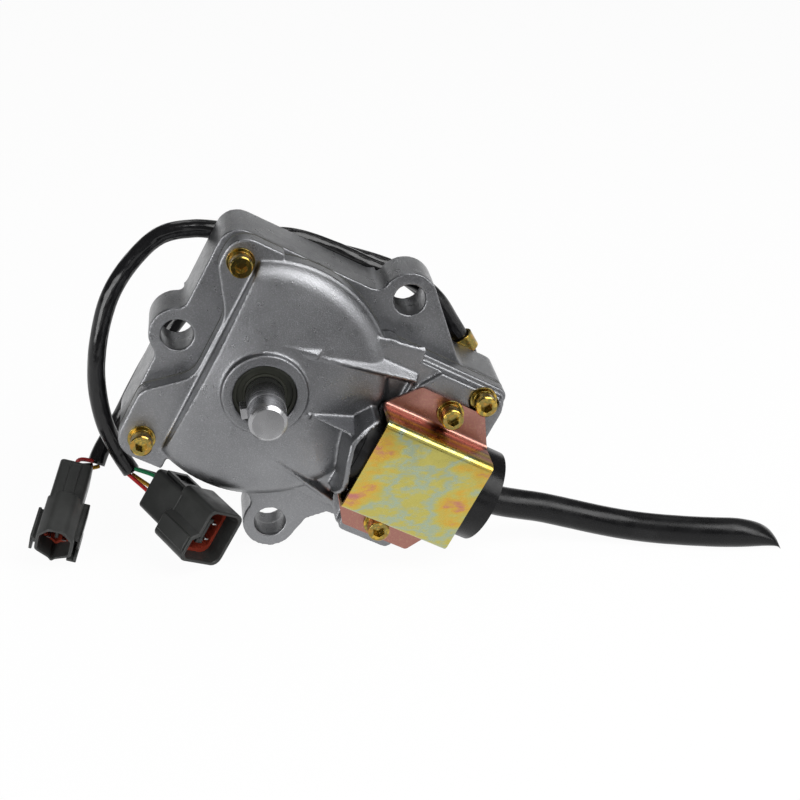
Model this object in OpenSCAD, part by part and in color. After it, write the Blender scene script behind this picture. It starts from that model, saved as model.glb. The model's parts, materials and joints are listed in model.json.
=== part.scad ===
// Throttle motor: a worm-geared motor drive with a lever shaft, a domed cover and three ears.
// Row frame: X right, Y back towards the surface it is bolted to, Z up. The origin lies on the
// output shaft's axis, at the middle of the lever seat. The casting is laid out in a drive frame:
// u along the motor, n across it, s forward out of the ear plane. place() sets it in the row frame.

/* [Layout] */
// Tilt of the motor axis below horizontal, in degrees
drive_tilt = 28.4; // [24:0.1:32]
// Distance of the lever seat in front of the ear plane
seat_s = 45; // [44:0.5:48]

/* [Output shaft] */
// Diameter of the output shaft
shaft_d = 17; // [15:0.5:18]
// Distance of the shaft's end in front of the ear plane
shaft_end_s = 55.4; // [53:0.1:60]
// Diameter of the lever seat on the shaft's end
lever_seat_d = 16.6; // [14:0.1:16.8]
// Distance of the lever seat's shoulder in front of the ear plane
lever_seat_s = 42.5; // [42:0.1:44]
// Chamfer on the shaft's end
shaft_chamfer = 1.5; // [0.5:0.1:2]
// Diameter of the rear journal
journal_d = 12; // [10:0.5:13]
// Width of the key along the rim
key_w = 5; // [3:0.5:6]
// Height of the key above the shaft
key_proud = 2.6; // [1.5:0.1:3]
// Length of the key along the shaft
key_len = 8; // [6:0.5:10]
// Distance of the key's near end in front of the ear plane
key_s = 33; // [30:0.5:34]

/* [Case] */
// Depth of the rear housing behind the ear plane
case_depth = 30; // [28:0.5:34]
// Thickness of the back wall
back_wall = 4; // [3:0.5:5]
// Radius of the round gear chamber outside
dome_r = 57.2; // [56:0.1:58.5]
// Wall thickness of the cover
cover_wall = 3; // [2.5:0.1:3.5]
// Left flat side of the dome, from the shaft axis
chord_u = -26; // [-27:0.5:-25]
// Right inner wall of the gear chamber
chamber_end_u = 41; // [40.5:0.1:41.5]
// Right end of the motor arm
arm_end_u = 104.5; // [102:0.5:108]
// Upper edge of the motor arm
arm_top_n = 42.2; // [41.5:0.1:43]
// Lower edge of the motor arm
arm_low_n = -24; // [-26:0.5:-22]
// Straight top edge of the case
case_top_n = 57; // [56.5:0.1:58]
// Straight left edge of the case, above the left ear
case_left_u = -44.3; // [-45:0.1:-43.5]
// Straight left edge of the case, below the left ear
case_foot_u = -46.5; // [-47:0.1:-46]
// Lower left corner of the case
case_low_n = -59; // [-60:0.5:-58]

/* [Mounting ears] */
// Centre of the left ear (u, n)
ear_left = [-41.8, 0]; // [-43:0.1:1]
// Centre of the right ear (u, n)
ear_right = [44.1, 59.5]; // [40:0.1:62]
// Centre of the bottom ear (u, n)
ear_bottom = [37.3, -67.1]; // [-70:0.1:40]
// Outer radius of an ear
ear_r = 12.7; // [12:0.1:13.5]
// Thickness of an ear
ear_thick = 24; // [20:0.5:26]
// Diameter of the machined bolt hole
ear_hole_d = 14.5; // [12:0.1:15]
// Depth of the machined bolt hole
ear_hole_len = 12; // [10:0.5:16]
// Diameter of the cast core behind the bolt hole
ear_core_d = 15.8; // [15.4:0.1:17]

/* [Front cover] */
// Thickness of the gasket
gasket_t = 0.8; // [0.5:0.1:1.2]
// Height of the flange face above the ear plane
flange_s = 9; // [8:0.5:10]
// Height of the bracket pads above the ear plane
pad_s = 14.4; // [14:0.1:15]
// Height of the arm's middle step above the ear plane
step_s = 12; // [11:0.1:13]
// Radius of the dome's shoulder
shoulder_r = 12; // [10:0.5:13]
// Slope of the dome's face, in degrees
dome_slope = 14; // [12:0.5:16]
// Outside diameter of the shaft boss
boss_d = 38; // [36:0.5:40]
// Height of the shaft boss above the ear plane
boss_s = 26.5; // [26:0.1:28]
// Outer radius of the motor hood
hood_r = 25; // [24.6:0.1:25.5]
// Height of the raised collar along the hood's rim
collar_h = 1.2; // [0.8:0.1:2]
// Width of the raised collar
collar_w = 4.6; // [3:0.1:6]

/* [Bearings and seal] */
// Outer diameter of the front bearing
bearing_od = 26; // [25:0.5:27]
// Width of the front bearing
bearing_w = 5; // [4.5:0.1:5]
// Height of the front bearing's rear face
bearing_s = 14.2; // [14:0.1:14.4]
// Diameter of a ball
ball_d = 2.6; // [2.4:0.1:2.7]
// Number of balls
ball_count = 14; // [10:1:16]
// Outer diameter of the dust seal
seal_d = 28; // [27:0.5:29]
// Thickness of the dust seal
seal_t = 4.5; // [3.5:0.1:4.7]
// Wall of the rear bush
bush_wall = 2; // [1.5:0.1:2.5]
// Radial clearance of pieces that are seated in each other
seat_gap = 0.02; // [0.01:0.01:0.05]
// Radial clearance of turning shafts
run_gap = 0.05; // [0.03:0.01:0.09]

/* [Gears] */
// Module of all gears
gear_module = 1; // [0.99:0.001:1.01]
// Teeth of the worm wheel
wheel_teeth = 22; // [22:1:22]
// Teeth of the pinion
pinion_teeth = 14; // [14:1:14]
// Teeth of the output gear
output_teeth = 42; // [42:1:42]
// Teeth of the sensor gear
sensor_teeth = 24; // [24:1:24]
// Tooth play along the pitch line
backlash = 0.3; // [0.2:0.01:0.35]
// Pitch radius of the worm
worm_r = 3.4; // [3.3:0.01:3.5]
// Length of the worm thread
worm_len = 18; // [16:0.5:18]
// Thickness of the worm wheel
wheel_t = 3.6; // [3:0.1:4]
// Thickness of the output gear
output_gear_t = 6; // [5:0.1:6.2]
// Height of the output gear's rear face
output_gear_s = 1.5; // [1.2:0.1:1.6]
// Thickness of the sensor gear
sensor_gear_t = 5; // [4:0.1:5.5]
// Diameter of the fixed gear pin
gear_pin_d = 5; // [4:0.1:5.5]
// Diameter of the position sensor's body
sensor_d = 26; // [24:0.5:27]

/* [Motor] */
// Distance of the motor axis above the shaft axis, across the arm
motor_n = -7.7; // [-8:0.1:-7.4]
// Height of the motor axis above the ear plane
motor_s = 12.8; // [12.7:0.1:12.9]
// Outer diameter of the motor can
can_d = 41.8; // [40:0.1:42]
// Wall of the motor can
can_wall = 1.4; // [1:0.1:2]
// Thickness of the black sleeve
sleeve_t = 0.8; // [0.5:0.1:1]
// Near end of the motor
motor_front_u = 44.7; // [44.6:0.1:45]
// Far end of the sleeve
motor_end_u = 117; // [112:0.5:122]
// Diameter of the motor shaft
motor_shaft_d = 5; // [4:0.1:5]
// Diameter of the rotor
rotor_d = 25.2; // [22:0.1:25.4]
// Diameter of the stator's opening
stator_bore_d = 26; // [25.8:0.1:27]

/* [Bracket] */
// Sheet thickness
sheet_t = 1.6; // [1.2:0.1:1.7]
// Near end of the bracket
bracket_u = 52.5; // [52:0.1:53]
// Length of the bracket along the motor
bracket_len = 53.5; // [50:0.5:56]
// Width of the upper flange
upper_flange_w = 14.1; // [13:0.1:14.3]
// Width of the lower flange
lower_flange_w = 15.5; // [13:0.1:16]
// Gap between the motor's sleeve and the sheet
bracket_gap = 0.2; // [0.1:0.05:0.4]

/* [Fasteners] */
// Thread diameter
screw_d = 6; // [5:0.5:6]
// Head diameter
head_d = 10; // [9:0.5:10.5]
// Head height
head_h = 6; // [5:0.5:6.5]
// Width across the flats of the socket
socket_af = 5; // [4:0.5:5.5]
// Outer diameter of the spring washers
spring_washer_d = 10.6; // [10:0.1:11]
// Thickness of the spring washers
spring_washer_t = 1.6; // [1.2:0.1:2]
// Outer diameter of the flat washers
flat_washer_d = 12.5; // [11:0.1:13]
// Thickness of the flat washers
flat_washer_t = 1.2; // [1:0.1:1.6]
// Depth of the tapped holes below the ear plane
thread_depth = 12; // [10:0.5:14]

/* [Leads and hose] */
// Diameter of a sleeved lead
lead_d = 8.6; // [8:0.1:9]
// Diameter of one wire
wire_d = 2; // [1.8:0.1:2.2]
// Diameter of the vent hose
hose_d = 14; // [13:0.1:14]
// Distance of the leads behind the ear plane
lead_back = 36; // [36:0.1:38]
// Thickness of the cable clip's strap
clip_t = 1.2; // [1:0.1:1.2]

/* [Connectors] */
// Mouth of the motor lead's connector: width, height, length
four_way = [24.6, 27.3, 42.8]; // [20:0.1:46]
// Rear part of the motor lead's connector: width, height
four_way_rear = [18.9, 20.7]; // [16:0.1:22]
// Mouth of the sensor lead's connector: width, height, length
three_way = [22.4, 24, 44.1]; // [20:0.1:46]
// Rear part of the sensor lead's connector: width, height
three_way_rear = [15.5, 18]; // [13:0.1:20]
// Depth of a connector's mouth
mouth_depth = 20; // [16:0.5:21]
// Wall of a connector
shell_t = 1.5; // [1.2:0.1:2]
// Side of a square pin
pin_side = 1.6; // [1.2:0.1:2]
// Length of a pin inside the mouth
pin_len = 11; // [8:0.5:12]

/* [Hidden] */
$fn = 48;

cast_grey = "#8b8d90";
zinc_yellow = "#c9a94a";
steel = "#a9abae";
black_plastic = "#17181a";
grey_plastic = "#4a4b4a";
seal_red = "#7c2a1a";

// Corner and blend radii of the castings
ear_blend_r = 6;
arm_corner_r = 5;
corner_r = 10;
bend_r = 2;
// Outlines run a little way into the round ears that they meet
ear_foot_r = ear_r - 0.15;

// Radii that follow from the sizes above
motor_r = can_d / 2 + sleeve_t;
trough_r = motor_r + 0.5;
chamber_r = dome_r - cover_wall;
shaft_r = shaft_d / 2;
socket_u = motor_front_u - 0.2;
shoulder_s = 4.5;
cone_r = 20;

// Gear centres in the drive frame
wheel_pitch_r = gear_module * wheel_teeth / 2;
compound_reach = gear_module * (pinion_teeth + output_teeth) / 2;
compound_n = motor_n + worm_r + wheel_pitch_r;
compound_at = [sqrt(compound_reach * compound_reach - compound_n * compound_n), compound_n];
sensor_reach = gear_module * (output_teeth + sensor_teeth) / 2;
sensor_turn = -80;
sensor_at = sensor_reach * [cos(sensor_turn), sin(sensor_turn)];
pinion_s = 0.6;
wheel_s = motor_s - wheel_t / 2;
sensor_gear_s = 2;
sensor_face_s = -3;
sensor_ear_t = 3;
sensor_body_t = 14;
sensor_post_reach = sensor_d / 2 + 4.5;
sensor_post_r = 4;
sensor_shaft_r = 3;
m3_r = 1.5;

// Stack of the output shaft
journal_s = -24.5;
journal_top_s = -13.5;
circlip_t = 1;
seal_s = boss_s - 1.5 - seal_t;
boss_post_r = 12;
pin_boss_r = 5.5;
pin_low_s = -22;
pin_top_s = 17.4;
nose_u = compound_at.x - worm_len / 2 - 5.6;
nose_w = 4;
nose_r = 2;
nose_boss_r = 4.6;

// Screws: where each one stands and the face it is seated on
cover_screw_at = [[-33.5, 46, flange_s], [-36.5, -48.5, flange_s], [93.9, 35.1, step_s]];
bracket_screw_at = [[81.8, 24.2, pad_s + sheet_t], [78, -39.6, pad_s + sheet_t]];
screw_tip_s = -10;
washer_stack = flat_washer_t + spring_washer_t;

// Hat section of the bracket
hat_top_s = motor_s + motor_r + bracket_gap + sheet_t;
hat_low_n = motor_n - motor_r - bracket_gap - sheet_t + 0.15;
hat_high_n = motor_n + motor_r + bracket_gap + sheet_t - 0.15;

// Lead outlet on the back of the arm
outlet_u = [71, 101.5];
outlet_n = [-6, 8];
outlet_depth = 13;
boot_u = [94, 79];
boot_r = 5.9;
boot_len = 10;
clip_at = [88.5, 41.7];
clip_turn = 146;
clip_inner_r = lead_back - case_depth - clip_t;
clip_w = 8;
clip_reach = 13;

// Where the connectors lie: the middle of each mouth and its turn
four_way_at = [-26.1, 22.6, -71.4];
four_way_turn = [102, 30, 38];
three_way_at = [-98.2, 31.6, -75.5];
three_way_turn = [113, 16, -6];
four_way_holes = [[-4, 4], [4, 4], [-4, -4], [4, -4]];
three_way_holes = [[0, 4], [-3.6, -3], [3.6, -3]];

// Routes of the leads and the hose. Points on the case are in the drive frame, others in the row frame
motor_lead_case = [[94, 6], [94, 18], [96, 28], [94.5, 36.5], [88.5, 41.7], [78, 48.5], [66, 55.5],
    [52, 59], [35, 56.7], [12, 56], [-8, 53.5], [-25, 46.5]];
motor_lead_free = [[-12, 81, 55], [-27, 81, 57], [-42, 79.5, 55], [-55, 76.5, 45], [-66, 73.5, 30],
    [-73, 71, 9], [-75.5, 70, -12], [-73.5, 70, -32], [-68, 71, -49], [-63, 70, -58.5]];
sensor_lead_case = [[79, 6], [79, 18]];
sensor_lead_free = [[83, 85, -16.5], [89.5, 90, -12], [93, 91.5, -5], [89, 91.5, 6], [81, 91.5, 17],
    [66, 91.5, 29], [46, 91.5, 37], [24, 92, 42], [4, 92, 40], [-16, 92, 30], [-34, 92, 13],
    [-49, 92, -8], [-60, 92, -27], [-67, 91.5, -39.5], [-73, 88, -48], [-77.5, 84.5, -54.5],
    [-80, 81.5, -59.5]];
hose_free = [[109, 33, -66.8], [118, 34, -69.5], [128, 34.5, -72], [142, 34, -76], [156, 32.5, -79.6],
    [168, 30, -81.6], [180, 26.5, -82.4], [202, 20.5, -82.5], [220, 17.5, -82.5], [239, 18, -82.5]];
hose_start_u = motor_end_u - 2.5;
neck_end_u = motor_end_u + 4;
neck_wall = 2;

// Plane geometry

function unit(v) = v / norm(v);
function sharp(points) = [for (p = points) [p.x, p.y, 0]];
function flip(v) = [for (i = [len(v) - 1:-1:0]) v[i]];
function swing(from, to) = from + ((to - from + 900) % 360) - 180;
function reach(r, d) = sqrt(r * r - d * d);
function arc(c, r, a0, a1, n = 6) =
    [for (i = [0:n]) c + r * [cos(a0 + (a1 - a0) * i / n), sin(a0 + (a1 - a0) * i / n)]];
// Concave arc from an edge's foot direction round to an ear's circle
function ear_blend(c, foot, ear) =
    sharp(arc(c, ear_blend_r, foot, swing(foot, atan2(ear.y - c.y, ear.x - c.x)), 5));
// Point where a line from p touches the ear
function ear_tangent(ear, p, side) =
    let (d = p - ear, a = atan2(d.y, d.x) + side * acos(ear_foot_r / norm(d)))
    [ear.x + ear_foot_r * cos(a), ear.y + ear_foot_r * sin(a), 0];
function rounded_corner(a, b, c, r, n) =
    r == 0 ? [b] :
    let (p = unit(a - b), q = unit(c - b), half = acos(p * q) / 2,
        centre = b + unit(p + q) * r / sin(half), first = b + p * r / tan(half) - centre,
        a0 = atan2(first.y, first.x), turn = -sign(cross(p, q)) * (180 - 2 * half))
    arc(centre, r, a0, a0 + turn, n);
// Closed outline through [u, n, corner radius] points
function round_path(v, n = 6) = let (m = len(v))
    [for (i = [0:m - 1]) let (a = v[(i + m - 1) % m], b = v[i], c = v[(i + 1) % m])
        each rounded_corner([a.x, a.y], [b.x, b.y], [c.x, c.y], b.z, n)];

// Outlines of the castings, in the drive frame

left_blend = [case_left_u - ear_blend_r,
    ear_left.y + reach(ear_foot_r + ear_blend_r, case_left_u - ear_blend_r - ear_left.x)];
foot_blend = [case_foot_u - ear_blend_r,
    ear_left.y - reach(ear_foot_r + ear_blend_r, case_foot_u - ear_blend_r - ear_left.x)];
top_blend = [ear_right.x - reach(ear_foot_r + ear_blend_r, case_top_n + ear_blend_r - ear_right.y),
    case_top_n + ear_blend_r];
keel_n = case_low_n + 1;
keel_blend = [ear_bottom.x - reach(ear_foot_r + ear_blend_r, keel_n - ear_blend_r - ear_bottom.y),
    keel_n - ear_blend_r];
seat_low_n = -50.5;
arm_root_u = 79.4;
web_corner = [52, keel_n - 0.5];

case_outline = round_path(concat(
    [[arm_end_u, arm_top_n, arm_corner_r], [arm_root_u, arm_top_n, 8]],
    [ear_tangent(ear_right, [arm_root_u, arm_top_n], 1), [ear_right.x, ear_right.y, 0]],
    flip(ear_blend(top_blend, -90, ear_right)),
    [[case_left_u, case_top_n, corner_r]],
    ear_blend(left_blend, 0, ear_left),
    [[ear_left.x, ear_left.y, 0]],
    flip(ear_blend(foot_blend, 0, ear_left)),
    [[case_foot_u, case_low_n, corner_r], [-22, case_low_n, 1], [-22, -50, 0], [16, -50, 0]],
    [[16, keel_n, 0]],
    ear_blend(keel_blend, 90, ear_bottom),
    [[ear_bottom.x, ear_bottom.y, 0], ear_tangent(ear_bottom, web_corner, -1)],
    [[web_corner.x, web_corner.y, 2], [59.4, seat_low_n - 0.8, 2], [90, seat_low_n, 4]],
    [[92, arm_low_n, arm_corner_r], [arm_end_u, arm_low_n, arm_corner_r]]));

cover_outline = round_path([
    [arm_end_u - 0.2, arm_top_n - 0.2, 4], [44, arm_top_n - 0.2, 3], [38, 36, 0], [-10, 40, 0],
    [-17, 45, 0], [-17, case_top_n, 1.5], [case_left_u + 2.8, case_top_n, corner_r],
    [case_left_u + 2.8, 40, 8], [-28.3, 20, 16], [-28.3, -12, 12], [case_foot_u - 0.3, -28, 8],
    [case_foot_u - 0.3, case_low_n, corner_r], [-22, case_low_n, 1], [-22, -50, 0], [0, -40, 0],
    [34, -43.5, 0], [57, -43.5, 1.5], [63, seat_low_n, 3], [90, seat_low_n, 4],
    [92, arm_low_n, arm_corner_r], [arm_end_u - 0.2, arm_low_n, 4]]);

upper_pad = round_path([[arm_end_u - 0.4, 38.9, 6], [70, 38.9, 2], [64, 30, 2], [60, 8, 0],
    [arm_end_u - 0.4, 8, 0]]);
lower_pad = round_path([[90, -25, 0], [92, -33, 3], [90, seat_low_n, 4], [63, seat_low_n, 3],
    [60, -31, 2], [60, -25, 0]]);
arm_step = round_path([[arm_end_u - 0.4, arm_top_n - 3, 4], [60, arm_top_n - 3, 1],
    [60, 14, 0], [arm_end_u - 0.4, 14, 0]]);

// Opening of the hood seen from the front: everything right of its rim
hood_opening = round_path([[130, 45, 0], [bracket_u - 0.7, 45, 0], [bracket_u - 0.7, 12.5, 3],
    [47.5, 8.5, 4], [44, -1.5, 9], [bracket_u - 0.7, -25, 3], [bracket_u - 0.7, -60, 0],
    [130, -60, 0]]);
// Half section of the hood, along the motor axis
hood_profile = round_path([[16, 0, 0], [16, 7.8, 0], [27, 8.6, 12], [34, 12, 8], [39.5, 21, 5],
    [42, hood_r, 2], [62, hood_r, 0], [62, 0, 0]]);

hat_outline = round_path([
    [hat_low_n - lower_flange_w, pad_s + sheet_t, 0], [hat_low_n, pad_s + sheet_t, bend_r],
    [hat_low_n, hat_top_s, sheet_t * 2], [hat_high_n, hat_top_s, sheet_t * 2],
    [hat_high_n, pad_s + sheet_t, bend_r], [hat_high_n + upper_flange_w, pad_s + sheet_t, 0],
    [hat_high_n + upper_flange_w, pad_s, 0], [hat_high_n - sheet_t, pad_s, bend_r + sheet_t],
    [hat_high_n - sheet_t, hat_top_s - sheet_t, sheet_t],
    [hat_low_n + sheet_t, hat_top_s - sheet_t, sheet_t],
    [hat_low_n + sheet_t, pad_s, bend_r + sheet_t], [hat_low_n - lower_flange_w, pad_s, 0]]);
bracket_end_u = bracket_u + bracket_len;
bracket_plan = round_path([
    [bracket_u, hat_low_n, 2], [bracket_u + 11, hat_low_n - lower_flange_w, 2],
    [bracket_end_u - 9, hat_low_n - lower_flange_w, 2], [bracket_end_u, hat_low_n, 2],
    [bracket_end_u, hat_high_n, 2], [bracket_end_u - 9, hat_high_n + upper_flange_w, 2],
    [bracket_u + 12, hat_high_n + upper_flange_w, 2], [bracket_u, hat_high_n, 2]]);

// Half section of the dome, moved inwards by off
dome_edge = 90 - dome_slope;
function roof_s(r, off) = shoulder_s + (shoulder_r - off) * sin(dome_edge)
    + (dome_r - shoulder_r + (shoulder_r - off) * cos(dome_edge) - r) * tan(dome_slope);
function dome_profile(off, base) = concat(
    [[0, base], [dome_r - off, base]],
    arc([dome_r - shoulder_r, shoulder_s], shoulder_r - off, 0, dome_edge, 12),
    [[cone_r, roof_s(cone_r, off)], [0, roof_s(cone_r, off)]]);

// Gears

involute_a = 20;
function involute(rb, r) = let (t = acos(rb / r)) tan(t) * 180 / PI - t;
// Half the angle of a tooth at radius r
function half_tooth(z, r) = let (rp = gear_module * z / 2, rb = rp * cos(involute_a))
    (PI * gear_module - backlash) / (4 * rp) * 180 / PI + involute(rb, rp) - involute(rb, max(r, rb));
function gear_outline(z, turn) =
    let (rp = gear_module * z / 2, root = rp - 1.2 * gear_module, tip = rp + 0.9 * gear_module,
        low = max(root, rp * cos(involute_a)), rise = [for (i = [0:3]) low + (tip - low) * i / 3])
    [for (k = [0:z - 1]) let (a = turn + 360 * k / z)
        each concat([root * [cos(a - half_tooth(z, low)), sin(a - half_tooth(z, low))]],
            [for (r = rise) r * [cos(a - half_tooth(z, r)), sin(a - half_tooth(z, r))]],
            [for (r = flip(rise)) r * [cos(a + half_tooth(z, r)), sin(a + half_tooth(z, r))]],
            [root * [cos(a + half_tooth(z, low)), sin(a + half_tooth(z, low))]])];

// Worm: radius of its section as the angle runs once round, from a trapezoid thread
worm_pitch = PI * gear_module;
worm_sides = 18;
worm_tip_r = worm_r + 0.95 * gear_module;
worm_root_r = worm_r - 1.15 * gear_module;
crest_half = worm_pitch / 4 - backlash / 2 - 0.95 * gear_module * tan(involute_a);
function worm_section_r(x) = max(worm_root_r, worm_tip_r - max(0, abs(x) - crest_half) / tan(involute_a));
worm_section = [for (i = [0:worm_sides - 1]) let (a = 360 * i / worm_sides - 180)
    worm_section_r(a * worm_pitch / 360) * [cos(a), sin(a)]];
worm_lead_angle = atan(gear_module / (2 * worm_r));
wheel_twist = tan(worm_lead_angle) / wheel_pitch_r * wheel_t * 180 / PI;

// Tubes swept along routes in the row frame

function row_point(p) = [p.x * cos(drive_tilt) + p.y * sin(drive_tilt), seat_s - p.z,
    p.y * cos(drive_tilt) - p.x * sin(drive_tilt)];
function turned(a, p) =
    let (y1 = p.y * cos(a.x) - p.z * sin(a.x), z1 = p.y * sin(a.x) + p.z * cos(a.x),
        x2 = p.x * cos(a.y) + z1 * sin(a.y), z2 = z1 * cos(a.y) - p.x * sin(a.y))
    [x2 * cos(a.z) - y1 * sin(a.z), x2 * sin(a.z) + y1 * cos(a.z), z2];
function tube_ring(route, i, r, sides, ref) =
    let (t = unit(route[min(i + 1, len(route) - 1)] - route[max(i - 1, 0)]),
        x = unit(cross(ref, t)), y = cross(t, x))
    [for (j = [0:sides - 1]) route[i] + r * (cos(360 * j / sides) * x + sin(360 * j / sides) * y)];
// ref is a direction that the route never takes
module tube(route, r, sides, ref = [1, 1, 0]) {
    rings = len(route);
    points = [for (i = [0:rings - 1]) each tube_ring(route, i, r, sides, ref)];
    wall = [for (i = [0:rings - 2], j = [0:sides - 1])
        let (a = i * sides + j, b = i * sides + (j + 1) % sides)
        each [[a, a + sides, b + sides], [a, b + sides, b]]];
    ends = [[for (j = [0:sides - 1]) j], [for (j = [sides - 1:-1:0]) (rings - 1) * sides + j]];
    polyhedron(points, concat(wall, ends), convexity = 6);
}

motor_lead = concat([for (p = motor_lead_case) row_point([p.x, p.y, -lead_back])], motor_lead_free);
sensor_lead = concat([for (p = sensor_lead_case) row_point([p.x, p.y, -lead_back])], sensor_lead_free);
hose_route = concat([row_point([hose_start_u, motor_n, motor_s]),
    row_point([neck_end_u, motor_n, motor_s])], hose_free);

// Placing

module place() rotate([90, 0, 0]) translate([0, 0, -seat_s]) rotate([0, 0, -drive_tilt]) children();
module at_motor(u = 0) translate([u, motor_n, motor_s]) rotate([0, 90, 0]) children();
module at_each(points) for (p = points) translate(p) children();
module right_of(u) translate([u, -150, -100]) cube([300, 300, 200]);
module slab(outline, from, to) translate([0, 0, from]) linear_extrude(to - from) polygon(outline);
module tube_piece(outer, inner, h) difference() {
    cylinder(r = outer, h = h);
    translate([0, 0, -1]) cylinder(r = inner, h = h + 2);
}

// Castings

module chamber(from, to) intersection() {
    translate([0, 0, from]) cylinder(r = chamber_r, h = to - from, $fn = 96);
    translate([chord_u + cover_wall, -100, from]) cube([chamber_end_u - chord_u - cover_wall, 200, to - from]);
}

module motor_trough() at_motor(socket_u) cylinder(r = trough_r, h = 100, $fn = 96);

module rear_housing() {
    ears = [ear_left, ear_right, ear_bottom];
    color(cast_grey) place() difference() {
        union() {
            difference() {
                union() {
                    slab(case_outline, -case_depth, 0);
                    intersection() {
                        translate([0, 0, -case_depth]) cylinder(r = dome_r, h = case_depth, $fn = 96);
                        right_of(chord_u);
                    }
                    at_each(ears) translate([0, 0, -ear_thick]) cylinder(r = ear_r, h = ear_thick);
                    translate([outlet_u.x, outlet_n.x, -case_depth - outlet_depth])
                        cube([outlet_u.y - outlet_u.x, outlet_n.y - outlet_n.x, outlet_depth + 1]);
                }
                chamber(-case_depth + back_wall, 1);
                motor_trough();
            }
            translate([0, 0, -case_depth]) cylinder(r = boss_post_r, h = case_depth + journal_top_s - 0.5);
            translate([compound_at.x, compound_at.y, -case_depth]) cylinder(r = pin_boss_r, h = case_depth);
            for (side = [-1, 1]) translate([sensor_at.x + side * sensor_post_reach, sensor_at.y, -case_depth])
                cylinder(r = sensor_post_r, h = case_depth + sensor_face_s - sensor_ear_t);
        }
        at_each(ears) {
            translate([0, 0, -ear_hole_len]) cylinder(d = ear_hole_d, h = ear_hole_len + 1);
            translate([0, 0, -case_depth - 1]) cylinder(d = ear_core_d, h = case_depth + 1 - ear_hole_len);
            translate([0, 0, -case_depth - 1]) cylinder(r = ear_r + 1.2, h = case_depth + 1 - ear_thick);
        }
        translate([0, 0, journal_s - 0.5])
            cylinder(r = journal_d / 2 + bush_wall + seat_gap, h = journal_top_s - journal_s + 2);
        translate([compound_at.x, compound_at.y, pin_low_s])
            cylinder(r = gear_pin_d / 2 + seat_gap, h = 40);
        for (side = [-1, 1]) translate([sensor_at.x + side * sensor_post_reach, sensor_at.y, -18])
            cylinder(r = m3_r + seat_gap, h = 20);
        at_each([for (p = concat(cover_screw_at, bracket_screw_at)) [p.x, p.y, -thread_depth]])
            cylinder(r = screw_d / 2 + seat_gap, h = thread_depth + 1);
        for (u = boot_u) translate([u, outlet_n.x + 3, -lead_back]) rotate([-90, 0, 0])
            cylinder(r = boot_r + seat_gap, h = outlet_n.y - outlet_n.x);
        translate([clip_hole.x, clip_hole.y, -case_depth - 1]) cylinder(r = 2 + seat_gap, h = 12);
    }
}

module cover_plan(from, to) {
    slab(cover_outline, from, to);
    intersection() {
        translate([0, 0, from]) cylinder(r = dome_r, h = to - from, $fn = 96);
        right_of(chord_u);
    }
}

module gasket() color("#5c5a55") place() difference() {
    cover_plan(0, gasket_t);
    chamber(-1, gasket_t + 1);
    motor_trough();
    at_each([for (p = concat(cover_screw_at, bracket_screw_at)) [p.x, p.y, -1]])
        cylinder(r = screw_d / 2 + 0.3, h = gasket_t + 2);
}

// A rib with sloping flanks from p to q, its crest at heights p.z and q.z
module rib(p, q, crest_w, flank) {
    run = norm([q.x - p.x, q.y - p.y]);
    depth = 11;
    translate(p) rotate([0, 0, atan2(q.y - p.y, q.x - p.x)]) rotate([0, atan2(p.z - q.z, run), 0])
        rotate([90, 0, 90]) linear_extrude(run)
        polygon([[-crest_w / 2, 0], [-crest_w / 2 - flank.x * depth, -depth],
            [crest_w / 2 + flank.y * depth, -depth], [crest_w / 2, 0]]);
}

module hood() difference() {
    union() {
        at_motor() rotate([0, 0, 90]) rotate_extrude($fn = 96)
            polygon([for (p = hood_profile) [p.y, p.x]]);
        difference() {
            at_motor(socket_u) cylinder(r = hood_r + collar_h, h = 20, $fn = 96);
            slab([for (p = hood_opening) [p.x, p.y]], 0, 60);
            translate([0, 0, -1]) difference() {
                cube([200, 200, 200], center = true);
                translate([-collar_w, 0, 0]) slab(hood_opening, -90, 90);
            }
        }
    }
    slab(hood_opening, 0, 60);
    translate([0, 0, gasket_t - 100]) cube([300, 300, 200], center = true);
}

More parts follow.
